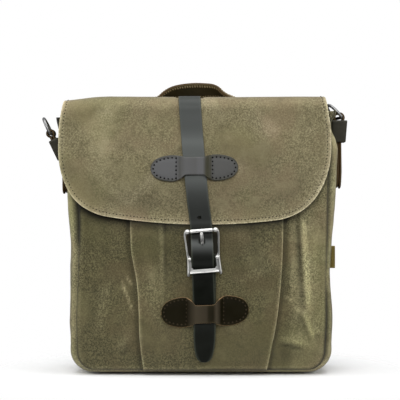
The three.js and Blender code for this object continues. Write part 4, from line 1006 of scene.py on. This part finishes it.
def make_strap():
    line, half = strap_line()
    bloom_and_sheen = np.clip(read(STRAP_SHEEN, "bloom_and_sheen", line[:, 2]) + 0.06 * ripple(line[:, 2], line[:, 1], 17, 51), 0, 1)
    strap = strip_piece("closing_strap", line, half, (1, 0, 0), STRAP_LEATHER, black_leather,
                        {"bloom_sheen_and_shade": bloom_and_sheen})
    slot_x = BUCKLE["x"] + math.sin(BUCKLE["lean"]) * (PRONG_SLOT["z"] - BUCKLE["z"])
    cut_away(strap, [
        punch(SPARE_HOLE["x"], SPARE_HOLE["z"], SPARE_HOLE["radius"], SPARE_HOLE["radius"], -72, -60.6),
        punch(slot_x, PRONG_SLOT["z"], PRONG_SLOT["half"], PRONG_SLOT["radius"], -76, -60)])
    mount(strap, "black_leather", "centre_strap")
    seam = [[read(STRAP_LINE, "x", FLAP_TOP) + side * STRAP_SEAM["half"], STRAP_SEAM["y"], z]
            for side in (-1, 1) for z in STRAP_SEAM["z"]]
    sew("strap_back_stitches", [seam[:2], [seam[0], seam[2]], seam[2:]], black_thread, "black_leather")


make_strap()

# Keepers: two dog-bone loops of leather, each sewn down by its round lobes, and the strap passes under the bridge.
# The upper one is dark grey and lies on the flap. The lower one is brown and lies on the front.
KEEPER_LEATHER = 2.0
KEEPER_BRIDGE_HALF = 13.0
KEEPER_FOOT = 19.0
KEEPER_SEAM = 17.7
KEEPER_HEM = 2.7
KEEPER_OUTLINE = {
    "across": (0, 8, 10, 12, 14.5, 17, 19, 23, 28, 33, 38, 41, 43, 43.8, 44.2),
    "bridge": (1, 1, 0.93, 0.62, 0.34, 0.18, 0.06, 0, 0, 0, 0, 0, 0, 0, 0),
    "lobe": (0, 0, 0.07, 0.38, 0.66, 0.82, 0.94, 1, 0.965, 0.885, 0.74, 0.57, 0.36, 0.22, 0.1),
}
# Grey bloom and painted sheen across each keeper: painted highlights on the bridge and lobes, little on slopes
# turned from the light.
KEEPER_SHEEN_AT = (-44, -18, -14, -9, 1.5, 4, 8.5, 11.5, 15.5, 18, 44)
KEEPERS = {
    "upper_keeper": {"x": -6.7, "z": 210.3, "lobe": 13.4, "bridge": 9.0, "rise": 2.0, "lift": 2.7, "lean": 0.019,
                     "rim": 0.5, "bloom_and_sheen": (1, 1, 0.6, 0.9, 0.8, 1, 1, 0, 0, 0.68, 0.62)},
    "lower_keeper": {"x": 4.0, "z": 65.6, "lobe": 15.2, "bridge": 9.0, "rise": -2.4, "lift": 5.0, "lean": 0.038,
                     "rim": 0.0, "bloom_and_sheen": (0.01, 0.01, 0.16, 0.36, 0.26, 0.06, 0.04, 0.4, 0, 0, 0)},
}
grey_leather = leather(
    "grey_smooth_leather", (0.034, 0.032, 0.017, 1), (0.085, 0.075, 0.042, 1), worn=1.5,
    bloom_sheen_and_shade=(0.101, 0.101, 0.102, 1), shine=0.2)
brown_leather = leather(
    "brown_oiled_leather", (0.0080, 0.0066, 0.0026, 1), (0.40, 0.25, 0.12, 1), worn=2.4,
    bloom_sheen_and_shade=(0.12, 0.096, 0.066, 1))
brown_thread = thread_finish("brown_thread", (0.024, 0.017, 0.009, 1))


def keeper_high(keeper, far):
    """Half the keeper's height at a distance from its middle."""
    return sum(read(KEEPER_OUTLINE, word, far) * keeper[word] for word in ("bridge", "lobe"))


def keeper_back(keeper, seat, far, z):
    """Depth of the keeper's back: on the cloth at its lobes and over the strap at its bridge."""
    return seat(z) - 0.3 - keeper["lift"] * (1 - ease(far, KEEPER_BRIDGE_HALF, KEEPER_FOOT))


def keeper_place(keeper, seat, across, share):
    """A point of a keeper from its place along the length and its share of the height there."""
    far = np.abs(across)
    rise = read(KEEPER_OUTLINE, "bridge", far) * keeper["rise"]
    z = keeper["z"] + share * keeper_high(keeper, far) + rise + across * keeper["lean"]
    return np.stack([keeper["x"] + across, keeper_back(keeper, seat, far, z) - KEEPER_LEATHER / 2, z], -1)


def keeper_seams(keeper, seat):
    """Closed sewing lines inside each lobe: round its edge and straight beside the strap."""
    far = np.linspace(KEEPER_SEAM, KEEPER_OUTLINE["across"][-1], 80)
    high = keeper_high(keeper, far)
    edge = np.concatenate([np.stack([far, high], -1), np.stack([far, -high], -1)[::-1]])
    inner = even_line(inset_line(even_line(edge, 1.0), -KEEPER_HEM), 0.5)
    inner = inner[inner[:, 0] >= KEEPER_SEAM]
    far, high = np.concatenate([inner, inner[:1]]).T
    lines = []
    for side in (-1, 1):
        z = keeper["z"] + high + side * far * keeper["lean"]
        y = keeper_back(keeper, seat, far, z) - KEEPER_LEATHER - 0.05
        lines.append(np.stack([keeper["x"] + side * far, y, z], -1))
    return lines


def make_keeper(name, seat, finish, slot, thread):
    keeper = KEEPERS[name]
    half = np.concatenate([np.linspace(0, 13, 12), np.linspace(13.6, 20, 12), np.linspace(21, 42, 22),
                           [42.8, 43.4, 43.9, 44.2]])
    across = np.concatenate([-half[:0:-1], half])[None, :]
    share = mix(-1, 1, steps(16, 26, (0.35, 0.9, 1.8)))[:, None]
    middle = keeper_place(keeper, seat, across + 0 * share, share + 0 * across)
    height = np.abs(middle[-1, :, 2] - middle[0, :, 2])[None, :] / 2
    inside = np.minimum((1 - np.abs(share)) * height, KEEPER_OUTLINE["across"][-1] + 1 - np.abs(across))
    sewn = ease(np.abs(across), KEEPER_SEAM - 1, KEEPER_SEAM)
    press = 0.35 * hill(inside - KEEPER_HEM, 0.9) * sewn + 0.35 * hill(np.abs(across) - KEEPER_SEAM, 0.9)
    full = KEEPER_LEATHER + 0.25 * ease(inside, 3, 8) * sewn - press
    full = full * round_edge(*middle.shape[:2], ring=(0.5, 0.88))
    bloom_and_sheen = np.interp(across, KEEPER_SHEEN_AT, keeper["bloom_and_sheen"]) + 0 * share
    bloom_and_sheen = bloom_and_sheen * (1 - keeper["rim"] * (1 - ease(inside, 1.6, 3.4)) * sewn)
    piece = wall_piece(name + "_leather", middle, full, finish,
                       {"wear": 0.7 * (1 - keeper["rim"]) * hill(inside - 1.2, 0.8), "bloom_sheen_and_shade": bloom_and_sheen})
    mount(piece, slot, name)
    sew(name + "_stitches", keeper_seams(keeper, seat), thread, slot, pitch=4.0, radius=0.85, fill=0.48)


def flap_seat(z):
    return flap_front_y(z) - FLAP_CANVAS / 2


def panel_seat(z):
    return read(FRONT_LINE, "y", z) - CANVAS / 2


make_keeper("upper_keeper", flap_seat, grey_leather, "grey_leather", black_thread)
make_keeper("lower_keeper", panel_seat, brown_leather, "brown_leather", brown_thread)

# Chape: a short strip of black leather, folded round the buckle's middle bar and sewn to the front under the strap.
# A slot in the fold lets the prong through.
CHAPE_LEATHER = 1.7
CHAPE = {"x": 4.0, "half": 11.0, "front_end": 90.0, "back_end": 57.0, "slot": 2.4}
CHAPE_NECK = {"z": 113.4, "front_y": -63.6, "back_y": -61.2}
MIDDLE_BAR = {"y": 1.8, "z": -6.2, "radius": 1.5}


def smooth_line(points, step):
    """A smooth curve through points, at even steps along its length."""
    points = np.asarray(points, float)
    along = run_length(points[:, :3], 0)
    places = np.linspace(0, along[-1], int(along[-1] / step) + 1)
    return np.stack([read({"along": along, "at": points[:, k]}, "at", places) for k in range(points.shape[1])], -1)


def make_chape():
    bar_y, bar_z = BUCKLE["y"] + MIDDLE_BAR["y"], BUCKLE["z"] + MIDDLE_BAR["z"]
    eye = MIDDLE_BAR["radius"] + 0.3 + CHAPE_LEATHER / 2

    def back_ply(z):
        return panel_seat(z) - 0.3 - CHAPE_LEATHER / 2

    route = [(back_ply(z) - CHAPE_LEATHER - 0.2, z) for z in (CHAPE["front_end"], 97, 104, 109)]
    route.append((CHAPE_NECK["front_y"], CHAPE_NECK["z"]))
    for turn in np.radians([230, 200, 165, 130, 95, 60, 25, -10, -40]):
        route.append((bar_y + eye * math.cos(turn), bar_z + eye * math.sin(turn)))
    route.append((CHAPE_NECK["back_y"], CHAPE_NECK["z"]))
    route += [(back_ply(z), z) for z in (107, 90, 72, CHAPE["back_end"])]
    line = smooth_line([(CHAPE["x"], float(y), float(z)) for y, z in route], 0.9)
    lean = BUCKLE["lean"] * ease(line[:, 2], CHAPE["front_end"], bar_z)
    across = np.stack([np.cos(lean), 0 * lean, -np.sin(lean)], -1)
    piece = strip_piece("buckle_chape_leather", line, CHAPE["half"], across, CHAPE_LEATHER, black_leather)
    slot_x = BUCKLE["x"] + math.sin(BUCKLE["lean"]) * MIDDLE_BAR["z"]
    cut_away(piece, [punch(slot_x, bar_z + 3.5, 7, CHAPE["slot"], bar_y - 8, bar_y + 4.2)])
    mount(piece, "black_leather", "buckle_chape")


make_chape()

# Roller buckle: a cast nickel-plated frame with a waist, thin upper sides, bevelled lower sides and short feet.
# A loose tube sits on the top bar, and a prong on the middle bar goes through the strap and rests on the tube.
FRAME_TOP = 21.3
TOP_BAR = 1.2
FRAME_OUTLINE = {
    "height": (-23.6, -22.9, -21.9, -20.8, -14, -7, -4.5, -2, 8, 16.5, 19.5, 21.6, 23.2),
    "outer": (16.9, 17.3, 17.6, 17.7, 17.1, 16.7, 16.6, 16.7, 17.3, 17.9, 17.8, 17.0, 15.4),
    "width": (1.4, 2.1, 2.5, 4.6, 4.8, 4.6, 3.8, 2.2, 1.9, 2.1, 3.2, 4.2, 3.4),
    "deep": (0.9, 1.2, 1.5, 1.7, 1.8, 1.8, 1.75, 1.7, 1.7, 1.7, 1.8, 1.8, 1.0),
}
BOTTOM_BAR = {"z": (-21.4, -17.1), "deep": 1.7, "half": 14.5}
BAR_HALF = 15.5
KNOBS = [
    ((14.2, 0, FRAME_TOP), (2.9, 2.2, 2.4)), ((13.3, -0.6, MIDDLE_BAR["z"]), (1.7, 1.9, 1.7)),
    ((12.6, 0.1, -16.8), (1.6, 0.9, 1.6))]
PRONG = {"half": 1.8, "thick": 1.35, "groove": 0.4, "taper": 0.35}
PRONG_ROUTE = [
    (1.6, -3.6), (1.5, -1.0), (1.3, 1.6), (0.6, 4.2), (-0.8, 7.4), (-3.1, 10.8), (-3.6, 15), (-3.3, 20.4)]
PRONG_EYE = [(3.2, -1.7), (3.2, 1.7), (1.85, 1.7), (1.85, -1.7)]
ROLLER = [
    (1.75, -11.2), (1.85, -11.0), (1.9, -10.6), (1.9, 10.6), (1.85, 11.0), (1.75, 11.2), (1.5, 11.2), (1.4, 11.0),
    (1.4, -11.0), (1.5, -11.2)]
BEVEL = [
    (0.0, 0.25), (0.03, -0.45), (0.13, -0.95), (0.26, -1.0), (0.46, -0.5), (0.94, -0.36), (1.0, -0.1), (1.0, 0.5),
    (0.9, 0.85), (0.5, 1.0), (0.12, 0.9), (0.02, 0.65)]
buckle_place = (Matrix.Translation([BUCKLE[axis] * MM for axis in "xyz"])
                @ Matrix.Rotation(BUCKLE["lean"], 4, "Y"))


def plated_metal(name, colour, rough, scratch):
    """Polished metal with faint smudges, hairline scratches, and dull hollows: tarnish and painted darker
    reflection.
    """
    paint = Paint(name)
    smudge = paint.cloud(4, 4.0)
    tint = paint.blend(smudge, tinted(colour, 0.8), colour)
    stretched = paint.add("ShaderNodeMapping", {"Vector": paint.at, "Scale": (1, 1, 0.12)})
    return paint.end({
        "Base Color": paint.blend(paint.mark("tarnish_and_reflection"), tint, tinted(colour, 0.36)), "Metallic": 1.0,
        "Roughness": paint.ranged(smudge, 0.3, 0.7, *rough),
        "Normal": paint.bump(paint.cloud(0.5, at=stretched), scratch, 0.0001)})


nickel = plated_metal("bright_nickel", (0.94, 0.935, 0.9, 1), (0.36, 0.44), scratch=0.0)
steel = plated_metal("dull_steel", (0.30, 0.30, 0.30, 1), (0.38, 0.5), scratch=0.03)


def join_shapes(shapes):
    points, faces = [], []
    for shape_points, shape_faces in shapes:
        faces += [[k + len(points) for k in face] for face in shape_faces]
        points += np.asarray(shape_points).tolist()
    return points, faces


def ball(centre, radii):
    ring = circle(20)
    loops = [np.stack([centre[0] + radii[0] * math.sin(tilt) * np.cos(ring),
                       centre[1] + radii[1] * math.sin(tilt) * np.sin(ring),
                       centre[2] + radii[2] * math.cos(tilt) + 0 * ring], -1)
             for tilt in np.linspace(0.12, math.pi - 0.12, 12)]
    return loft(loops)


def round_rod(start, end, radius):
    start, end = np.asarray(start, float), np.asarray(end, float)
    along = unit(end - start)
    side = unit(np.cross(along, [0.31, 0.95, 0.1]))
    turns = circle(20)[:, None]
    ring = radius * (np.cos(turns) * side + np.sin(turns) * np.cross(along, side))
    return loft([start + ring, end + ring])


def tube(profile, y, z, sides):
    """Loops round an axis along X: one for each radius and place of the profile."""
    return [[(x, y + radius * math.cos(turn), z + radius * math.sin(turn)) for turn in circle(sides)]
            for radius, x in profile]


def bevelled(outer, inner, deep):
    """Cross-section of the frame: a ridge near its outer edge that slopes down to the inner one."""
    return [(mix(outer, inner, share), depth * deep) for share, depth in BEVEL]


def cast(name, shapes, finish, grain=0.18, rounds=12, dull=0.0):
    """Overlapping shapes grown together into one smooth cast piece, set in the buckle's place."""
    points, faces = join_shapes(shapes)
    piece = new_piece(name, points, faces, finish)
    grow = piece.modifiers.new("grow", "REMESH")
    grow.mode = "VOXEL"
    grow.voxel_size = grain * MM
    soften = piece.modifiers.new("soften", "SMOOTH")
    soften.iterations = rounds
    solid = settle(piece)
    places = np.empty(len(solid.vertices) * 3, np.float32)
    solid.vertices.foreach_get("co", places)
    hollow = solid.attributes.new("tarnish_and_reflection", "FLOAT", "POINT")
    # Faces set back in the frame are marked dull: tarnish with painted darker reflection; the prong is dulled all
    # over.
    hollow.data.foreach_set("value", np.maximum(ease(places[1::3] / MM, -1.4, -0.9), dull).astype(np.float32))
    solid.transform(buckle_place)
    solid.polygons.foreach_set("use_smooth", np.ones(len(solid.polygons), bool))
    solid.materials.clear()
    solid.materials.append(finish)
    return piece


def make_buckle():
    shapes = []
    for side in (-1, 1):
        loops = []
        for z in np.linspace(FRAME_OUTLINE["height"][0], FRAME_OUTLINE["height"][-1], 110):
            outer, width, deep = (read(FRAME_OUTLINE, word, z) for word in ("outer", "width", "deep"))
            loops.append([(side * x, y, z) for x, y in bevelled(outer, outer - width, deep)])
        shapes.append(loft(loops))
        shapes += [ball((side * x, y, z), radii) for (x, y, z), radii in KNOBS]
    low, bar = BOTTOM_BAR, MIDDLE_BAR
    shapes.append(loft([[(x, y, z) for z, y in bevelled(*low["z"], low["deep"])]
                        for x in np.linspace(-low["half"], low["half"], 20)]))
    for radius, y, z in ((bar["radius"], bar["y"], bar["z"]), (TOP_BAR, 0, FRAME_TOP)):
        shapes.append(round_rod((-BAR_HALF, y, z), (BAR_HALF, y, z), radius))
    mount(cast("buckle_frame_nickel", shapes, nickel), "nickel", "buckle_frame")

    roller = new_piece("buckle_roller_nickel", *loft(tube(ROLLER, 0, FRAME_TOP, 32), ring=True), nickel)
    roller.data.transform(buckle_place)
    mount(roller, "nickel", "buckle_roller")

    spine = smooth_line([(0, y, z) for y, z in PRONG_ROUTE], 0.5)
    along = unit(np.gradient(spine, axis=0))
    turns = circle(28)
    loops = []
    for k, (point, way) in enumerate(zip(spine, along)):
        taper = 1 - PRONG["taper"] * ease(k, len(spine) - 8, len(spine))
        ahead = np.cross(way, [1, 0, 0])
        groove = 1 - PRONG["groove"] * hill(np.cos(turns), 0.3) * (np.sin(turns) * ahead[1] < 0)
        loops.append(point + taper * (PRONG["half"] * np.cos(turns)[:, None] * np.array([1, 0, 0])
                                      + (PRONG["thick"] * groove * np.sin(turns))[:, None] * ahead))
    eye = loft(tube(PRONG_EYE, bar["y"], bar["z"], 28), ring=True)
    prong = cast("buckle_prong_nickel", [loft(loops), eye], nickel, grain=0.12, rounds=8, dull=0.8)
    mount(prong, "nickel", "buckle_prong")


make_buckle()

# Handle: a doubled strip of brown leather, sewn through along both edges, with flat feet on the flap's top.
# Its arch has rolled back, so the front edge stands high over the underside, and its right end is twisted.
HANDLE_LEATHER = 3.0
HANDLE_HALF = 11.5
HANDLE_SEAMS = (2.4, 3.9)
HANDLE_ARCH = {
    "x": (-68, -54, -45.5, -39.8, -32.5, -22, -8, 6, 15, 21.3, 26.3, 32, 38, 46),
    "y": (27, 27, 27, 27.2, 27.3, 27.4, 27.3, 27.7, 27.7, 26.9, 26.1, 25.2, 22.6, 18.8),
    "rise": (0, 0.3, 1.6, 5.2, 8.1, 9.3, 10, 10.2, 10, 8.6, 6.2, 3.2, 0.8, 0),
    "yaw": (0, 0, -2.5, -6, -8, -5, 0, 11, 15.5, 19, 24.5, 25.7, 26, 26),
    "tilt": (0, 0, 4, 15, 24, 33, 38, 35, 30, 22, 10, 5, 1, 0),
}
handle_leather = leather(
    "worn_handle_leather", (0.056, 0.045, 0.023, 1), (0.085, 0.052, 0.024, 1), gloss=(0.4, 0.55), worn=2.2)
pale_thread = thread_finish("pale_thread", (0.20, 0.155, 0.085, 1))


def make_handle():
    x = np.linspace(HANDLE_ARCH["x"][0], HANDLE_ARCH["x"][-1], 300)
    x = even_line(np.stack([x, read(HANDLE_ARCH, "rise", x)], -1), 1.1)[:, 0]
    seat = FLAP_TOP + FLAP_CANVAS / 2 + 0.3 + HANDLE_LEATHER / 2
    line = np.stack([x, read(HANDLE_ARCH, "y", x), seat + read(HANDLE_ARCH, "rise", x)], -1)
    yaw, tilt = (np.radians(read(HANDLE_ARCH, word, x)) for word in ("yaw", "tilt"))
    across = np.stack([np.cos(tilt) * np.sin(yaw), np.cos(tilt) * np.cos(yaw), -np.sin(tilt)], -1)
    piece = strip_piece("handle_leather", line, HANDLE_HALF, across, HANDLE_LEATHER, handle_leather)
    mount(piece, "brown_leather", "handle")
    up = unit(np.cross(np.gradient(line, axis=0), across))
    up = up * np.sign(up[:, 2:3])
    rows = []
    for side in (-1, 1):
        for face in (-1, 1):
            for gap in HANDLE_SEAMS:
                row = line + across * side * (HANDLE_HALF - gap) + up * face * (HANDLE_LEATHER / 2 * 0.9)
                rows.append(row[16:-14] if face < 0 else row[4:-4])
    sew("handle_stitches", rows, pale_thread, "brown_leather", pitch=2.6, radius=0.75, fill=0.75)


make_handle()

# Side fittings: a brown leather strip sewn to each gusset, looped round a steel D-ring, with a free round tail.
# A dark leather sleeve is pulled over both plies under the ring, and each ring swings in its loop.
SIDE_LEATHER = 2.6
SIDE_HALF = 8.5
SLEEVE_LEATHER = 2.2
PLY_OFFSET = SIDE_LEATHER / 2 + 0.25
RING = {"wire": 1.6, "half": 13.0, "arm": 4.5, "bend": 2.0}
FITTINGS = {
    "left": {"side": -1, "bar": (-157.3, 247.5), "lean": 25.5, "ring_lean": 25.5, "ring_yaw": 0, "eye": 3.5,
             "sleeve": (-7.0, -29.0, 0.0, 0.0), "tail": 184.5},
    "right": {"side": 1, "bar": (144.2, 263.8), "lean": 0.6, "ring_lean": -40.0, "ring_yaw": 12, "eye": 5.0,
              "sleeve": (-2.6, -25.4, 1.6, 1.8), "tail": 190.0},
}
# The tail leather's marked colour is dark brown, for painted shade at the ring loop.
tail_leather = leather(
    "brown_tail_leather", (0.075, 0.047, 0.022, 1), (0.11, 0.072, 0.033, 1), gloss=(0.4, 0.55), worn=2.0,
    bloom_sheen_and_shade=(0.017, 0.014, 0.010, 1))
sleeve_leather = leather(
    "dark_sleeve_leather", (0.044, 0.042, 0.032, 1), (0.075, 0.070, 0.058, 1), gloss=(0.42, 0.56), worn=1.6)


def make_side_strap(word, fitting):
    side, lean = fitting["side"], math.radians(fitting["lean"])
    bar = np.array([fitting["bar"][0], 0, fitting["bar"][1]])
    up = np.array([side * math.sin(lean), 0, math.cos(lean)])
    out = np.array([side * math.cos(lean), 0, -math.sin(lean)])

    def local(along, away):
        return bar + up * along + out * away

    def on_gusset(z, away):
        return np.array([side * (read(SIDE_OUTLINE, word, z) + CANVAS / 2 + 0.9 + away), 0, z])

    inner = SIDE_LEATHER / 2
    outer = inner + 2 * PLY_OFFSET
    neck, below, tail = -fitting["eye"] - 4.7, fitting["sleeve"][1] - 1, fitting["tail"]
    middle = mix(below, neck, 0.6)
    route = [on_gusset(tail + rise, inner) for rise in (0.8, 3, 8, 18)]
    route += [local(along, -PLY_OFFSET) for along in (below, middle, neck)]
    close = math.degrees(math.asin((inner + 0.12) / fitting["eye"]))
    for turn in np.radians([-close, -55, -90, -118, -146, 180, 146, 118, 90, 55, close]):
        route.append(local(-fitting["eye"] * math.cos(turn), fitting["eye"] * math.sin(turn)))
    route += [local(along, PLY_OFFSET) for along in (neck, middle, below)]
    route += [on_gusset(tail + rise, outer) for rise in (18, 8, 3, 0.8, 0)]
    line = even_line(np.array(route), 1.0)
    along = run_length(line, 0)
    end = np.clip(np.minimum(along, along[-1] - along) / SIDE_HALF, 0, 1)
    half = SIDE_HALF * np.sqrt(np.clip(1 - (1 - end) ** 2, 0.06, 1))
    # Painted shade: the strap takes the dark marked colour where it loops round the ring.
    loop = ease((line - bar) @ up, fitting["sleeve"][0] - 6, fitting["sleeve"][0] - 2)
    piece = strip_piece(f"{word}_side_strap_leather", line, half, (0, 1, 0), SIDE_LEATHER,
                        tail_leather, {"bloom_sheen_and_shade": loop})
    mount(piece, "brown_leather", f"{word}_side_strap")


def rounded_loop(half_a, half_b, radius, z):
    points = []
    for a, b, start in ((1, 1, 0), (-1, 1, 90), (-1, -1, 180), (1, -1, 270)):
        for turn in np.radians(start + np.linspace(0, 90, 7)):
            points.append((a * (half_a - radius) + radius * math.cos(turn),
                           b * (half_b - radius) + radius * math.sin(turn), z))
    return points


def fitting_place(fitting, lean, yaw=0.0):
    """Place of a fitting on its ring's bar, leaning outwards and turned about the upright axis."""
    x, z = fitting["bar"]
    turn = Matrix.Rotation(fitting["side"] * math.radians(fitting[lean]), 4, "Y")
    return Matrix.Translation((x * MM, 0, z * MM)) @ Matrix.Rotation(math.radians(yaw), 4, "Z") @ turn


def make_sleeve(word, fitting):
    top, bottom, flare, loose = fitting["sleeve"]
    thin, wide = PLY_OFFSET + SIDE_LEATHER / 2 + 0.3 + loose, SIDE_HALF + 0.3
    levels = np.linspace(bottom, top, 10)

    def layer(out, z, pinch=0.0):
        wider = flare * (z - bottom) / (top - bottom)
        return rounded_loop(thin + out + wider - pinch, wide + out - pinch, 0.6 + out, z)

    outside = [layer(SLEEVE_LEATHER, z) for z in (bottom + 0.5, *levels[1:-1], top - 0.5)]
    loops = [layer(SLEEVE_LEATHER, bottom, 0.5), *outside, layer(SLEEVE_LEATHER, top, 0.5)]
    loops += [layer(0, z) for z in levels[::-1]]
    raw, wear = np.zeros((2, len(loops), len(loops[0])))
    raw[[0, len(levels) + 1, -1]] = 1
    wear[[1, len(levels)]] = 0.6
    piece = new_piece(f"{word}_sleeve_leather", *loft(loops, ring=True), sleeve_leather,
                      {"raw_edge": raw, "wear": wear})
    piece.data.transform(fitting_place(fitting, "lean"))
    mount(piece, "grey_leather", f"{word}_sleeve")


def make_ring(word, fitting):
    half, arm, wire, bend = (RING[size] for size in ("half", "arm", "wire", "bend"))
    corner = [(half - bend + bend * math.sin(turn), bend - bend * math.cos(turn))
              for turn in np.radians((22, 45, 68, 90))]
    route = [(share * (half - bend), 0.0) for share in np.linspace(-1, 1, 9)] + corner
    route += [(half * math.cos(turn), arm + half * math.sin(turn)) for turn in np.linspace(0, math.pi, 40)]
    route = np.array(route + [(-y, z) for y, z in corner[::-1]])
    way = unit(np.roll(route, -1, axis=0) - np.roll(route, 1, axis=0))
    loops = [[(wire * math.sin(turn), y - dz * wire * math.cos(turn), z + dy * wire * math.cos(turn))
              for turn in circle(18)] for (y, z), (dy, dz) in zip(route, way)]
    piece = new_piece(f"{word}_ring_steel", *loft(loops, ring=True), steel)
    piece.data.transform(fitting_place(fitting, "ring_lean", fitting["ring_yaw"]))
    mount(piece, "steel", f"{word}_ring", body=f"{word}_ring_body")


for side_word, side_fitting in FITTINGS.items():
    make_side_strap(side_word, side_fitting)
    make_sleeve(side_word, side_fitting)
    make_ring(side_word, side_fitting)

# Side tab: a small plain strip of thin leather, folded once and caught in a slit of the right gusset.
# It stands straight out from the side.
TAB_LEATHER = 1.4
TAB = {"y": 6.0, "z": 118.0, "half": 11.7, "reach": 6.4, "seam": 3.2, "seam_half": 9.5}
tab_leather = leather(
    "tan_tab_leather", (0.185, 0.142, 0.04, 1), (0.15, 0.115, 0.05, 1), gloss=(0.45, 0.6), worn=1.6)
tan_thread = thread_finish("tan_thread", (0.09, 0.06, 0.028, 1))


def make_tab():
    seat = read(SIDE_OUTLINE, "right", TAB["z"]) + CANVAS / 2 + 0.7
    fold = TAB_LEATHER / 2 + 0.15
    end = seat + TAB["reach"] - fold
    turns = np.radians(np.linspace(-90, 90, 9))
    route = [(seat, -fold), (mix(seat, end, 0.5), -fold)]
    route += [(end + fold * math.cos(turn), fold * math.sin(turn)) for turn in turns]
    route += [(mix(seat, end, 0.5), fold), (seat, fold)]
    line = even_line(np.array([(x, TAB["y"] + y, TAB["z"]) for x, y in route]), 0.5)
    piece = strip_piece("side_tab_leather", line, TAB["half"], (0, 0, 1), TAB_LEATHER, tab_leather)
    mount(piece, "brown_leather", "side_tab")
    rows = [[(seat + TAB["seam"], TAB["y"] + side * (fold + TAB_LEATHER / 2), TAB["z"] + end * TAB["seam_half"])
             for end in (-1, 1)] for side in (-1, 1)]
    sew("side_tab_stitches", rows, tan_thread, "brown_leather", pitch=2.9, radius=0.35)


make_tab()
